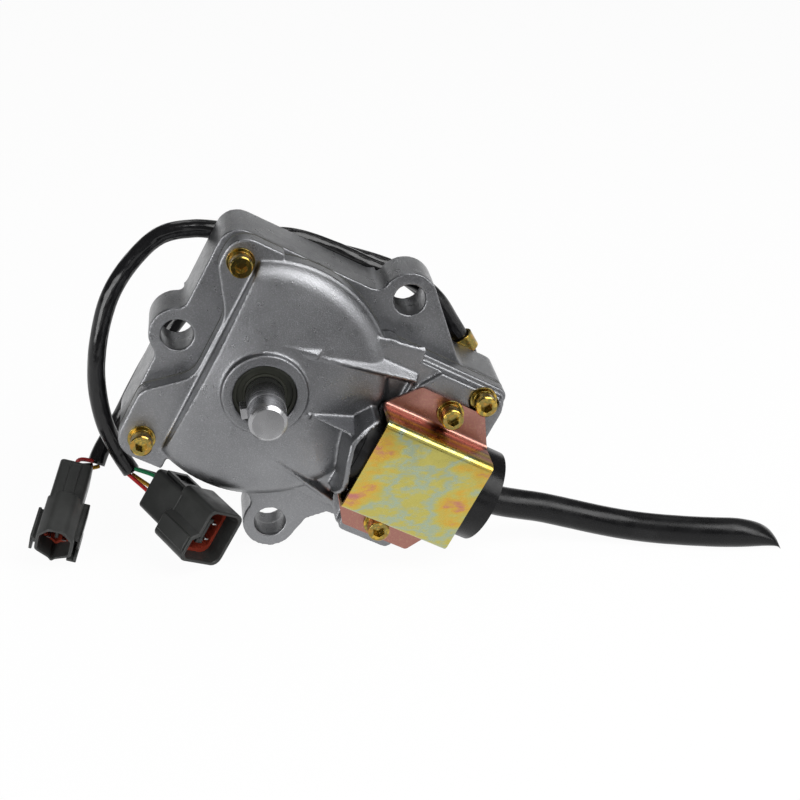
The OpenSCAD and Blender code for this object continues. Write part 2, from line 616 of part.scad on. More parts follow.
module front_cover() color(cast_grey) place() difference() {
    union() {
        difference() {
            union() {
                cover_plan(gasket_t, flange_s);
                intersection() {
                    rotate_extrude($fn = 96) polygon(dome_profile(0, gasket_t));
                    right_of(chord_u);
                }
                translate([0, 0, shoulder_s]) cylinder(d = boss_d, h = boss_s - shoulder_s, $fn = 72);
                hood();
                rib([-2.5, 22, 22.6], [61, 33.5, 21.5], 2, [0.45, 1.1]);
                rib([20, -1.8, 23], [46, -2, 30], 2, [0.35, 0.35]);
                rib([-1, -25.5, 21], [52, -38, 17], 2, [0.25, 0.45]);
                slab(upper_pad, gasket_t, pad_s);
                slab(lower_pad, gasket_t, pad_s);
                slab(arm_step, gasket_t, step_s);
                translate([43.5, 35, gasket_t]) cylinder(r = 6.5, h = step_s - gasket_t);
            }
            translate([0, 0, gasket_t - 1]) intersection() {
                rotate_extrude($fn = 96) polygon(dome_profile(cover_wall, 0));
                translate([chord_u + cover_wall, -100, -1])
                    cube([chamber_end_u - chord_u - cover_wall, 200, 60]);
            }
            motor_trough();
        }
        translate([0, 0, bearing_s - 1.7]) cylinder(r = bearing_od / 2 + 3, h = 8);
        translate([compound_at.x, compound_at.y, wheel_s + wheel_t + 0.6]) cylinder(r = pin_boss_r, h = 4.6);
        at_motor(nose_u) cylinder(r = nose_boss_r, h = nose_w);
        translate([nose_u, motor_n - nose_boss_r, motor_s]) cube([nose_w, nose_boss_r * 2, 6]);
    }
    translate([0, 0, bearing_s - 3]) cylinder(r = bearing_od / 2 - 1.8, h = 30);
    translate([0, 0, bearing_s]) cylinder(r = bearing_od / 2 + seat_gap, h = 20);
    translate([0, 0, seal_s - 0.1]) cylinder(r = seal_d / 2 + seat_gap, h = 20);
    at_motor(nose_u - 1) cylinder(r = nose_r + run_gap, h = nose_w + 2);
    at_motor(nose_u + nose_w) cylinder(r = worm_tip_r + 0.5, h = socket_u - nose_u);
    translate([compound_at.x, compound_at.y, 0]) cylinder(r = gear_pin_d / 2 + seat_gap, h = pin_top_s + 0.3);
    at_each([for (p = concat(cover_screw_at, bracket_screw_at)) [p.x, p.y, -1]])
        cylinder(r = screw_d / 2 + 0.3, h = 60);
    translate(cover_screw_at[2]) cylinder(r = flat_washer_d / 2 + 0.4, h = 20);
}

// Fasteners

module cap_screw(d, head, height, af, under) difference() {
    union() {
        translate([0, 0, -under]) cylinder(d = d, h = under + 1);
        cylinder(d = head, h = height - 0.5);
        translate([0, 0, height - 0.5]) cylinder(d1 = head, d2 = head - 1, h = 0.5);
    }
    translate([0, 0, height * 0.45]) cylinder(d = af / cos(30), h = height, $fn = 6);
}

module washer(d, hole, t) difference() {
    cylinder(d = d, h = t);
    translate([0, 0, -1]) cylinder(d = hole, h = t + 2);
}

module spring_washer() difference() {
    washer(spring_washer_d, screw_d + 0.4, spring_washer_t);
    rotate([0, 0, 25]) translate([0, -0.4, -1]) cube([spring_washer_d, 0.8, spring_washer_t + 2]);
}

module screws_at(points) for (p = points) translate([p.x, p.y, p.z + washer_stack])
    cap_screw(screw_d, head_d, head_h, socket_af, p.z + washer_stack - screw_tip_s);

module cover_screws() color(zinc_yellow) place() screws_at(cover_screw_at);
module cover_spring_washers() color(zinc_yellow) place()
    at_each(cover_screw_at) translate([0, 0, flat_washer_t]) spring_washer();
module cover_flat_washers() color(zinc_yellow) place()
    at_each(cover_screw_at) washer(flat_washer_d, screw_d + 0.6, flat_washer_t);
module bracket_screws() color(zinc_yellow) place() screws_at(bracket_screw_at);
module bracket_spring_washers() color(zinc_yellow) place()
    at_each(bracket_screw_at) translate([0, 0, flat_washer_t]) spring_washer();
module bracket_flat_washers() color(zinc_yellow) place()
    at_each(bracket_screw_at) washer(flat_washer_d, screw_d + 0.6, flat_washer_t);

module motor_bracket() color(zinc_yellow) place() difference() {
    intersection() {
        translate([bracket_u, 0, 0]) rotate([90, 0, 90]) linear_extrude(bracket_len) polygon(hat_outline);
        slab(bracket_plan, 0, 60);
    }
    at_each([for (p = bracket_screw_at) [p.x, p.y, 0]]) cylinder(r = screw_d / 2 + 0.3, h = 30);
}

// Motor

bell_t = 3;
bell_rim = 4.4;
bearing_r = 5.5;
bearing_t = 4;
cap_t = 3;
can_end_u = motor_end_u - 1.2;
can_r = can_d / 2;
can_bore_r = can_r - can_wall;
hub_r = 7;
shaft_end_u = can_end_u - 5;

module motor_can() color("#2b2c2e") place() at_motor(motor_front_u + bell_t)
    tube_piece(can_r, can_bore_r, can_end_u - motor_front_u - bell_t, $fn = 72);

module motor_sleeve() color(black_plastic) place() difference() {
    at_motor(motor_front_u + bell_t + 0.4)
        cylinder(r = motor_r, h = motor_end_u - motor_front_u - bell_t - 0.4, $fn = 72);
    at_motor(0) cylinder(r = can_r + seat_gap, h = can_end_u + seat_gap, $fn = 72);
    at_motor(0) cylinder(r = hose_d / 2 + neck_wall + 0.1, h = 200);
}

module motor_front_bell() color(steel) place() difference() {
    union() {
        at_motor(motor_front_u) cylinder(r = trough_r - 0.1, h = bell_t, $fn = 72);
        at_motor(motor_front_u) cylinder(r = hub_r, h = bell_t + 3);
        at_motor(motor_front_u + bell_t - 1) tube_piece(can_bore_r - seat_gap, can_bore_r - 1.5, bell_rim, $fn = 72);
    }
    at_motor(0) cylinder(r = motor_shaft_d / 2 + 0.6, h = 60);
    at_motor(motor_front_u + bell_t + 3 - bearing_t) cylinder(r = bearing_r + seat_gap, h = 10);
}

module motor_end_cap() color(black_plastic) place() difference() {
    union() {
        at_motor(can_end_u - cap_t) cylinder(r = can_bore_r - seat_gap, h = cap_t, $fn = 72);
        at_motor(can_end_u - cap_t - 5) cylinder(r = hub_r, h = 6);
        at_motor(can_end_u - 1) cylinder(r = hose_d / 2 + neck_wall, h = neck_end_u - can_end_u + 1);
    }
    at_motor(can_end_u - cap_t - 6) cylinder(r = bearing_r + seat_gap, h = 1 + bearing_t);
    at_motor(can_end_u - cap_t - 6) cylinder(r = motor_shaft_d / 2 + 0.6, h = 5.6);
    at_motor(hose_start_u) cylinder(r = hose_d / 2 + seat_gap, h = 20);
}

module stator() color("#6d6f73") place() at_motor(56)
    tube_piece(can_bore_r - seat_gap, stator_bore_d / 2, motor_end_u - 77, $fn = 72);

module coils() color("#9c5a2c") place() for (u = [52.8, motor_end_u - 20.8])
    at_motor(u) tube_piece(can_bore_r - 1.6, stator_bore_d / 2 + 0.5, 3, $fn = 72);

module rotor() color("#4c4e52") place() at_motor(57)
    tube_piece(rotor_d / 2, motor_shaft_d / 2 + seat_gap, motor_end_u - 79);

module worm_shaft() color(steel) place() union() {
    at_motor(compound_at.x + worm_len / 2 - 0.5)
        cylinder(d = motor_shaft_d, h = shaft_end_u - compound_at.x - worm_len / 2 + 0.5);
    at_motor(nose_u) cylinder(r = nose_r, h = worm_len / 2);
    at_motor(compound_at.x - worm_len / 2) rotate([0, 0, 90 - 180 * worm_len / worm_pitch])
        linear_extrude(worm_len, twist = -360 * worm_len / worm_pitch, slices = 88, $fn = worm_sides)
        polygon(worm_section);
}

module motor_bearing(u) at_motor(u) tube_piece(bearing_r, motor_shaft_d / 2 + seat_gap, bearing_t);
module motor_front_bearing() color(steel) place() motor_bearing(motor_front_u + bell_t + 3 - bearing_t);
module motor_rear_bearing() color(steel) place() motor_bearing(can_end_u - cap_t - 5);

// Gear train

module compound_gear() color("#b59a5e") place() translate([compound_at.x, compound_at.y, 0]) {
    toward_worm = -90;
    toward_shaft = atan2(-compound_at.y, -compound_at.x);
    difference() {
        union() {
            slab(gear_outline(pinion_teeth, toward_shaft), pinion_s, wheel_s + 0.5);
            translate([0, 0, wheel_s])
                linear_extrude(wheel_t, twist = -wheel_twist, slices = 3)
                polygon(gear_outline(wheel_teeth, toward_worm + 180 / wheel_teeth - wheel_twist / 2));
        }
        translate([0, 0, -1]) cylinder(r = gear_pin_d / 2 + run_gap, h = 30);
    }
}

module gear_pin() color(steel) place() translate([compound_at.x, compound_at.y, pin_low_s])
    cylinder(d = gear_pin_d, h = pin_top_s - pin_low_s);

module output_gear() color("#b59a5e") place() difference() {
    union() {
        slab(gear_outline(output_teeth, atan2(compound_at.y, compound_at.x) + 180 / output_teeth),
            output_gear_s, output_gear_s + output_gear_t);
        translate([0, 0, output_gear_s]) cylinder(r = shaft_r + 1.4, h = bearing_s - output_gear_s);
    }
    translate([0, 0, -1]) cylinder(r = shaft_r + seat_gap, h = 30);
}

circlip_s = bearing_s + bearing_w;
module output_shaft() color(steel) place() difference() {
    union() {
        translate([0, 0, journal_top_s]) cylinder(r = shaft_r, h = lever_seat_s - journal_top_s, $fn = 72);
        cylinder(d = lever_seat_d, h = shaft_end_s - shaft_chamfer, $fn = 72);
        translate([0, 0, shaft_end_s - shaft_chamfer])
            cylinder(d1 = lever_seat_d, d2 = lever_seat_d - 2 * shaft_chamfer, h = shaft_chamfer, $fn = 72);
        translate([0, 0, journal_s]) cylinder(d = journal_d, h = journal_top_s - journal_s + 1);
    }
    translate([0, 0, circlip_s]) difference() {
        cylinder(r = shaft_r + 1, h = circlip_t);
        translate([0, 0, -1]) cylinder(r = shaft_r - 0.5, h = circlip_t + 2);
    }
    key_place() translate([0, -key_w / 2, 0]) cube([10, key_w, key_len]);
}

key_turn = 216;
key_depth = 2.4;
module key_place() rotate([0, 0, key_turn]) translate([shaft_r - key_depth, 0, key_s]) children();
module shaft_key() color(steel) place() key_place()
    translate([seat_gap, seat_gap - key_w / 2, seat_gap])
    cube([key_depth + key_proud, key_w - 2 * seat_gap, key_len - 2 * seat_gap]);

race_r = (bearing_od / 2 + shaft_r) / 2;
race_gap = 0.1;
module race_groove() rotate_extrude() translate([race_r, bearing_w / 2]) circle(d = ball_d + 2 * race_gap, $fn = 24);
module front_bearing_outer() color(steel) place() translate([0, 0, bearing_s]) difference() {
    tube_piece(bearing_od / 2, race_r + 0.9, bearing_w, $fn = 72);
    race_groove();
}
module front_bearing_inner() color(steel) place() translate([0, 0, bearing_s]) difference() {
    tube_piece(race_r - 0.9, shaft_r + seat_gap, bearing_w, $fn = 72);
    race_groove();
}
module front_bearing_balls() color("#d0d2d4") place() for (i = [0:ball_count - 1])
    rotate([0, 0, 360 * i / ball_count]) translate([race_r, 0, bearing_s + bearing_w / 2])
    sphere(d = ball_d, $fn = 20);

module rear_bush() color("#a9843f") place() translate([0, 0, journal_s - 0.5])
    tube_piece(journal_d / 2 + bush_wall, journal_d / 2 + run_gap, journal_top_s - journal_s);

module dust_seal() color("#1f211b") place() translate([0, 0, seal_s]) difference() {
    cylinder(d = seal_d, h = seal_t, $fn = 72);
    translate([0, 0, -1]) cylinder(r = shaft_r + 0.08, h = seal_t + 2, $fn = 72);
    translate([0, 0, seal_t - 1.2]) difference() {
        cylinder(r = seal_d / 2 - 1.6, h = 2);
        translate([0, 0, -1]) cylinder(r1 = shaft_r + 1.6, r2 = shaft_r + 0.9, h = 4);
    }
}

module circlip() color("#3a3b3d") place() translate([0, 0, circlip_s + seat_gap]) difference() {
    cylinder(r = shaft_r + 0.9, h = circlip_t - 2 * seat_gap);
    translate([0, 0, -1]) cylinder(r = shaft_r - 0.5 + seat_gap, h = 3);
    translate([0, -1.5, -1]) cube([20, 3, 4]);
}

// Position sensor

module sensor_body() color(black_plastic) place() translate([sensor_at.x, sensor_at.y, 0]) difference() {
    union() {
        translate([0, 0, sensor_face_s - sensor_body_t]) cylinder(d = sensor_d, h = sensor_body_t);
        for (side = [-1, 1]) translate([side * sensor_post_reach, 0, sensor_face_s - sensor_ear_t])
            cylinder(r = sensor_post_r, h = sensor_ear_t);
        translate([-sensor_post_reach, -sensor_post_r, sensor_face_s - sensor_ear_t])
            cube([2 * sensor_post_reach, 2 * sensor_post_r, sensor_ear_t]);
    }
    translate([0, 0, sensor_face_s - 10]) cylinder(r = sensor_shaft_r + run_gap, h = 20);
    for (side = [-1, 1]) translate([side * sensor_post_reach, 0, -20]) cylinder(r = m3_r + 0.2, h = 30);
}

module sensor_gear() color("#d8d4c4") place() translate([sensor_at.x, sensor_at.y, 0]) union() {
    slab(gear_outline(sensor_teeth, sensor_turn + 180), sensor_gear_s, sensor_gear_s + sensor_gear_t);
    translate([0, 0, sensor_face_s - 9]) cylinder(r = sensor_shaft_r, h = sensor_gear_s - sensor_face_s + 9.5);
}

module sensor_screws() color(steel) place() for (side = [-1, 1])
    translate([sensor_at.x + side * sensor_post_reach, sensor_at.y, sensor_face_s])
    cap_screw(2 * m3_r, 5.5, 3, 2.5, 12);

// Leads, boots and clip

module cable_boots() color(black_plastic) place() for (u = boot_u)
    translate([u, outlet_n.x + 3.2, -lead_back]) rotate([-90, 0, 0]) difference() {
        union() {
            cylinder(r = boot_r, h = outlet_n.y - outlet_n.x - 3.2);
            translate([0, 0, outlet_n.y - outlet_n.x - 3.2]) cylinder(r1 = boot_r, r2 = lead_d / 2 + 0.8, h = boot_len);
        }
        translate([0, 0, -1]) cylinder(r = lead_d / 2 + seat_gap, h = 40);
    }

clip_hole = clip_at + clip_reach * [cos(clip_turn + 90), sin(clip_turn + 90)];
module cable_clip() color(zinc_yellow) place() difference() {
    translate([clip_at.x, clip_at.y, 0]) rotate([0, 0, clip_turn]) union() {
        translate([-clip_w / 2, 0, -lead_back]) rotate([0, 90, 0])
            cylinder(r = clip_inner_r + clip_t, h = clip_w);
        translate([-clip_w / 2, 0, -case_depth - clip_t]) cube([clip_w, clip_reach, clip_t]);
        translate([0, clip_reach, -case_depth - clip_t]) cylinder(r = clip_w / 2, h = clip_t);
    }
    translate([clip_at.x, clip_at.y, -lead_back]) rotate([0, 0, clip_turn]) rotate([0, 90, 0])
        cylinder(r = clip_inner_r, h = 40, center = true);
    translate([clip_hole.x, clip_hole.y, -case_depth - 5]) cylinder(r = 2.2, h = 10);
}

module clip_screw() color(zinc_yellow) place() translate([clip_hole.x, clip_hole.y, -case_depth - clip_t])
    rotate([180, 0, 0]) cap_screw(4, 7, 3, 3, 9);

module motor_cable() color(black_plastic) tube(motor_lead, lead_d / 2, 10);
module sensor_cable() color(black_plastic) tube(sensor_lead, lead_d / 2, 10);
module vent_hose() color(black_plastic) tube(hose_route, hose_d / 2, 12);

// Wires run from a lead's end to the holes in its connector's rear face
module wires(lead, at, turn, size, holes, spread, colours) {
    last = lead[len(lead) - 1];
    for (i = [0:len(holes) - 1]) {
        h = holes[i];
        start = last + turned(turn, [h.x, h.y, 0]) * spread;
        route = [start, at + turned(turn, [h.x, h.y, -size.z - 5]), at + turned(turn, [h.x, h.y, -size.z])];
        color(colours[i]) tube(route, wire_d / 2, 8, [0, 0, 1]);
    }
}
module motor_wires() wires(motor_lead, four_way_at, four_way_turn, four_way, four_way_holes, 0.4,
    ["red", "green", "gold", "black"]);
module sensor_wires() wires(sensor_lead, three_way_at, three_way_turn, three_way, three_way_holes, 0.45,
    ["red", "black", "gold"]);

// Connectors: z runs out of the mouth, y up

function box_outline(w, h, r) = round_path([[w / 2, h / 2, r], [-w / 2, h / 2, r], [-w / 2, -h / 2, r],
    [w / 2, -h / 2, r]], 4);
module connector(size, rear, holes) difference() {
    union() {
        translate([0, 0, -mouth_depth - 3]) linear_extrude(mouth_depth + 3)
            polygon(box_outline(size.x, size.y, 3.5));
        translate([0, 0, -size.z]) linear_extrude(size.z) polygon(box_outline(rear.x, rear.y, 2));
        for (side = [-1, 1]) translate([side * size.x / 2 - 0.8, -size.y * 0.18, -mouth_depth + 2])
            cube([1.6, size.y * 0.3, mouth_depth - 4]);
        translate([-rear.x * 0.3, rear.y / 2 - 1, -size.z + 6]) cube([rear.x * 0.6, 2.4, 12]);
    }
    translate([0, 0, -mouth_depth]) linear_extrude(mouth_depth + 1)
        polygon(box_outline(size.x - 2 * shell_t, size.y - 2 * shell_t, 2.4));
    translate([-rear.x * 0.2, rear.y / 2 - 0.5, -size.z + 8]) cube([rear.x * 0.4, 4, 8]);
}
module connector_seal(size) translate([0, 0, -mouth_depth]) linear_extrude(3) difference() {
    polygon(box_outline(size.x - 2 * shell_t - 0.1, size.y - 2 * shell_t - 0.1, 2.3));
    polygon(box_outline(size.x - 2 * shell_t - 5, size.y - 2 * shell_t - 5, 1.5));
}
module connector_pins(holes) for (h = holes)
    translate([h.x - pin_side / 2, h.y - pin_side / 2, -mouth_depth]) cube([pin_side, pin_side, pin_len]);

module at_four_way() translate(four_way_at) rotate(four_way_turn) children();
module at_three_way() translate(three_way_at) rotate(three_way_turn) children();
module motor_connector() color(grey_plastic) at_four_way() connector(four_way, four_way_rear, four_way_holes);
module motor_connector_seal() color(seal_red) at_four_way() connector_seal(four_way);
module motor_connector_pins() color("silver") at_four_way() connector_pins(four_way_holes);
module sensor_connector() color(grey_plastic) at_three_way() connector(three_way, three_way_rear, three_way_holes);
module sensor_connector_seal() color(seal_red) at_three_way() connector_seal(three_way);
module sensor_connector_pins() color("silver") at_three_way() connector_pins(three_way_holes);

rear_housing();
gasket();
front_cover();
cover_screws();
cover_spring_washers();
cover_flat_washers();
motor_bracket();
bracket_screws();
bracket_spring_washers();
bracket_flat_washers();
motor_can();
motor_sleeve();
motor_front_bell();
motor_end_cap();
stator();
coils();
rotor();
worm_shaft();
motor_front_bearing();
motor_rear_bearing();
compound_gear();
gear_pin();
output_gear();
output_shaft();
shaft_key();
front_bearing_outer();
front_bearing_balls();
front_bearing_inner();
rear_bush();
dust_seal();
circlip();
sensor_body();
sensor_gear();
sensor_screws();
cable_boots();
motor_cable();
sensor_cable();
motor_wires();
sensor_wires();
motor_connector();
motor_connector_seal();
motor_connector_pins();
sensor_connector();
sensor_connector_seal();
sensor_connector_pins();
vent_hose();
cable_clip();
clip_screw();
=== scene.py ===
"""Dresses the throttle motor, and makes its castings, connectors, leads, hose and a small studio."""

import json
import math

import bmesh
import bpy
import numpy as np
from bpy.props import FloatProperty, FloatVectorProperty, PointerProperty
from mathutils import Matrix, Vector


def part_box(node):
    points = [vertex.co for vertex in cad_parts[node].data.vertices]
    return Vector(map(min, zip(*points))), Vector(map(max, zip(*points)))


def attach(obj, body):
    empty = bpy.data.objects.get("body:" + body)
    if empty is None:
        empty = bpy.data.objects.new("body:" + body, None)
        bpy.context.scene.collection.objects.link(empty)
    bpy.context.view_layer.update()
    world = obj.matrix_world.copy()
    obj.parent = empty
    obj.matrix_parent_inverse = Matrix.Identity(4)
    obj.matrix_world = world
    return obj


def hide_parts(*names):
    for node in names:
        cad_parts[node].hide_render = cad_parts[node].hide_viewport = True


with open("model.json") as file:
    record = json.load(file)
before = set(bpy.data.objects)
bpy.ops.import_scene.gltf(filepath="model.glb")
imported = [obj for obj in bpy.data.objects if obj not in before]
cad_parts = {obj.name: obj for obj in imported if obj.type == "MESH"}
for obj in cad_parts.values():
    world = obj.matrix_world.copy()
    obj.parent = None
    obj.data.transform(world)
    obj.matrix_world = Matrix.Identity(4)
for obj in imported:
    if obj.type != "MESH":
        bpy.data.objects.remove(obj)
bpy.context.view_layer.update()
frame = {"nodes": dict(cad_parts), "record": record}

bl_info = {
    "name": "Throttle Motor",
    "version": (1, 0, 0),
    "blender": (4, 5, 0),
    "location": "3D View > Sidebar > Throttle Motor",
    "description": "Cast, plated and vinyl finishes, leads, hose and studio for a throttle motor",
    "category": "Object",
}

# The drive frame, as in part.scad: its unit, tilt and ear plane, and the motor's axis in it
MM = 0.001
TILT = math.radians(28.4)
SEAT = 45.0
MOTOR_N = -7.7
MOTOR_S = 12.8
# Height that the connectors and the hose lie on, in metres
FLOOR = -0.0895
# Middle and half of the bracket's face along the motor, in metres
BRACKET_MIDDLE = 0.077
BRACKET_HALF = 0.026
# Points of a CAD mesh that are closer than this, in metres, are made one, and faces that differ by
# less than this angle, in degrees, are made one
MERGE = 2e-6
FLAT = 0.3
# Angle in degrees past which a dressed piece's edge is sharp
SHARP = 28


# Settings


def metres(label, text, value):
    """A length setting in metres."""
    return FloatProperty(name=label, description=text, default=value, subtype="DISTANCE", unit="LENGTH")


def colour(label, text, value):
    """A colour setting."""
    return FloatVectorProperty(name=label, description=text, default=value, size=3, min=0, max=1,
                               subtype="COLOR")


class CastingSettings(bpy.types.PropertyGroup):
    """Tones and grain of the two castings"""
    tone: colour("Casting", "Colour of the bare cast aluminium", (0.25, 0.253, 0.262))
    dark: colour("Valleys", "Colour where the casting is dull", (0.15, 0.152, 0.159))
    voxel: metres("Voxel", "Size of the cells that round the castings' corners", 0.00065)
    grain: metres("Grain height", "Height of the cast skin's grain", 0.00016)


class PlatingSettings(bpy.types.PropertyGroup):
    """Tones of the yellow chromate on the bracket and the fasteners"""
    gold: colour("Gold", "Yellow chromate where it is thick", (0.62, 0.39, 0.065))
    green: colour("Green", "Yellow chromate's green bloom", (0.50, 0.45, 0.12))
    blue: colour("Blue", "Yellow chromate's blue bloom", (0.36, 0.44, 0.33))
    pink: colour("Pink", "Yellow chromate where it is thin", (0.52, 0.20, 0.17))
    flange: colour("Flange", "Yellow chromate on the bracket's flanges", (0.36, 0.17, 0.14))
    amber: colour("Amber", "Yellow chromate on screws and washers", (0.42, 0.23, 0.05))
    olive: colour("Olive", "Yellow chromate on the screws' heads", (0.21, 0.185, 0.06))
    edge: metres("Edge radius", "Rounding of the bracket's edges", 0.0003)


class LeadSettings(bpy.types.PropertyGroup):
    """Sizes of the leads, wires and hose, and their black"""
    lead: metres("Lead", "Diameter of a sleeved lead", 0.0086)
    wire: metres("Wire", "Diameter of a single wire", 0.002)
    hose: metres("Hose", "Diameter of the vent hose", 0.014)
    black: colour("Vinyl", "Colour of the black vinyl", (0.0045, 0.0045, 0.005))


class StudioSettings(bpy.types.PropertyGroup):
    """Lens, floor and light of the studio"""
    lens: FloatProperty(name="Lens", description="Focal length on a 36 mm sensor", default=72,
                        unit="CAMERA")
    floor: colour("Floor", "Colour of the floor and backdrop", (0.92, 0.92, 0.92))
    key: FloatProperty(name="Key light", description="Power of the main soft light", default=9, unit="POWER")


# Surfaces


def drive_point(u, n, s):
    """Point of the drive frame, in metres: u along the motor, n across it, s out of the ear plane.

    u and n are turned by the tilt about the shaft, and s is taken off the ear plane's depth.
    """
    c, t = math.cos(TILT), math.sin(TILT)
    return (MM * (u * c + n * t), MM * (SEAT - s), MM * (n * c - u * t))


def smooth_line(points, step=0.0012):
    """Centripetal Catmull-Rom curve through points, resampled at equal steps of arc length.

    Each span is the usual cubic of its four neighbours; the first and last points are doubled outwards.
    """
    p = np.asarray(points, float)
    p = np.vstack([2 * p[0] - p[1], p, 2 * p[-1] - p[-2]])
    knots = np.concatenate([[0], np.cumsum(np.sqrt(np.linalg.norm(np.diff(p, axis=0), axis=1)))])
    i = np.arange(1, len(p) - 2)
    share = np.linspace(0, 1, 24, endpoint=False)
    t = (knots[i, None] + (knots[i + 1] - knots[i])[:, None] * share)[..., None]
    k = [knots[i + j, None, None] for j in (-1, 0, 1, 2)]
    q = [p[i + j, None, :] for j in (-1, 0, 1, 2)]
    a = [((k[j + 1] - t) * q[j] + (t - k[j]) * q[j + 1]) / (k[j + 1] - k[j]) for j in range(3)]
    b = [((k[j + 2] - t) * a[j] + (t - k[j]) * a[j + 1]) / (k[j + 2] - k[j]) for j in range(2)]
    line = (((k[2] - t) * b[0] + (t - k[1]) * b[1]) / (k[2] - k[1])).reshape(-1, 3)
    line = np.vstack([line, p[-2]])
    run = np.concatenate([[0], np.cumsum(np.linalg.norm(np.diff(line, axis=0), axis=1))])
    at = np.linspace(0, run[-1], max(8, int(run[-1] / step)))
    return np.stack([np.interp(at, run, line[:, j]) for j in range(3)], axis=1), run[-1]


def unit(vectors):
    """Rows of vectors, each divided by its own length."""
    return vectors / np.linalg.norm(vectors, axis=1, keepdims=True)


def rings_along(line, radius):
    """A circle carried along a line: centre + radius * (cos * side + sin * up), side and up square to it.

    radius has a row for each point of the line and a column for each point of the circle.
    """
    ahead = unit(np.gradient(line, axis=0))
    side = unit(np.cross([0.7071, 0.7071, 0.0], ahead))
    up = np.cross(ahead, side)
    a = np.linspace(0, 2 * np.pi, radius.shape[1], endpoint=False)
    ring = np.cos(a)[None, :, None] * side[:, None, :] + np.sin(a)[None, :, None] * up[:, None, :]
    return line[:, None, :] + radius[..., None] * ring


def grid_mesh(name, grid, closed=True, caps=True):
    """A mesh on a grid of rings: a quad between neighbouring points, and a face over each capped end.

    The attributes around and along give each point's share of the way round and along the grid.
    """
    rows, cols = grid.shape[:2]
    i, j = np.meshgrid(np.arange(rows - 1), np.arange(cols if closed else cols - 1), indexing="ij")
    k = (j + 1) % cols
    corners = [i * cols + j, i * cols + k, (i + 1) * cols + k, (i + 1) * cols + j]
    faces = np.stack(corners, axis=-1).reshape(-1, 4).tolist()
    if caps:
        faces += [list(range(cols))[::-1], [(rows - 1) * cols + c for c in range(cols)]]
    mesh = bpy.data.meshes.new(name)
    mesh.from_pydata(grid.reshape(-1, 3).tolist(), [], faces)
    smooth(mesh)
    around = np.tile(np.arange(cols) / cols, rows)
    along = np.repeat(np.arange(rows) / (rows - 1), cols)
    for label, values in (("around", around), ("along", along)):
        mesh.attributes.new(label, "FLOAT", "POINT").data.foreach_set("value", values.astype(np.float32))
    return mesh


def smooth(mesh, sharp=None):
    """Smooth shading, broken at edges sharper than the given angle in degrees."""
    mesh.polygons.foreach_set("use_smooth", np.ones(len(mesh.polygons), bool))
    if sharp:
        mesh.set_sharp_from_angle(angle=math.radians(sharp))


def faced_out(mesh, merge=0.0):
    """Turns a mesh's faces outwards, after points closer than merge are made one."""
    b = bmesh.new()
    b.from_mesh(mesh)
    if merge:
        bmesh.ops.remove_doubles(b, verts=b.verts, dist=merge)
    bmesh.ops.recalc_face_normals(b, faces=b.faces)
    b.to_mesh(mesh)
    b.free()
    return mesh


def put(mesh, finish):
    """An object for a mesh, in the scene, with its finish where one is given."""
    obj = bpy.data.objects.new(mesh.name, mesh)
    bpy.context.scene.collection.objects.link(obj)
    if finish:
        mesh.materials.clear()
        mesh.materials.append(finish)
    return obj


# Solids for the castings and connectors


def rounded_outline(corners, steps=6):
    """Closed outline: straight between corners (x, y, r), with an arc of radius r in each corner.

    The arc's centre lies on the corner's bisector, r / sin(half the corner's angle) from it.
    """
    c = np.asarray(corners, float)
    here, back, ahead = c[:, :2], np.roll(c[:, :2], 1, axis=0), np.roll(c[:, :2], -1, axis=0)
    one, two = unit(back - here), unit(ahead - here)
    half = np.arccos(np.clip((one * two).sum(axis=1), -1, 1)) / 2
    middle, across = unit(one + two), unit(one - two)
    centre = here + middle * (c[:, 2] / np.sin(half))[:, None]
    sweep = (np.pi / 2 - half)[:, None] * np.linspace(1, -1, steps)[None, :]
    arc = -middle[:, None, :] * np.cos(sweep)[..., None] + across[:, None, :] * np.sin(sweep)[..., None]
    return (centre[:, None, :] + c[:, 2][:, None, None] * arc).reshape(-1, 2)


def loft(name, low, high):
    """Closed solid between two outlines of as many points: a band of quads and a face at each end."""
    low, high = np.asarray(low, float), np.asarray(high, float)
    n = len(low)
    mesh = bpy.data.meshes.new(name)
    band = [(i, (i + 1) % n, n + (i + 1) % n, n + i) for i in range(n)]
    ends = [tuple(range(n))[::-1], tuple(range(n, 2 * n))]
    mesh.from_pydata(np.vstack([low, high]).tolist(), [], band + ends)
    return faced_out(mesh, 1e-6)


def drive_slab(name, outline, low_s, high_s, low_shift=0.0, high_shift=0.0):
    """Loft over an outline (u, n) between two heights s, each end shifted along -u."""
    return loft(name, [drive_point(u - low_shift, n, low_s) for u, n in outline],
                [drive_point(u - high_shift, n, high_s) for u, n in outline])


def motor_disc(name, radius, from_u, to_u):
    """Cylinder about the motor's axis: a circle of n and s, lofted along u."""
    a = np.linspace(0, 2 * np.pi, 96, endpoint=False)
    ring = list(zip(MOTOR_N + radius * np.cos(a), MOTOR_S + radius * np.sin(a)))
    return loft(name, [drive_point(from_u, *p) for p in ring], [drive_point(to_u, *p) for p in ring])


def turned_solid(name, profile):
    """Profile (radius, height) turned about the shaft's axis: u and n are radius times cos and sin."""
    r, s = np.asarray(profile, float).T
    a = np.linspace(0, 2 * np.pi, 128, endpoint=False)
    u, n = r[:, None] * np.cos(a), r[:, None] * np.sin(a)
    grid = np.stack(drive_point(u, n, np.broadcast_to(s[:, None], u.shape)), axis=-1)
    return faced_out(grid_mesh(name, grid))


def drive_block(name, low, high):
    """Box between two corners of the drive frame."""
    corners = [(low[0], low[1]), (high[0], low[1]), (high[0], high[1]), (low[0], high[1])]
    return drive_slab(name, corners, low[2], high[2])


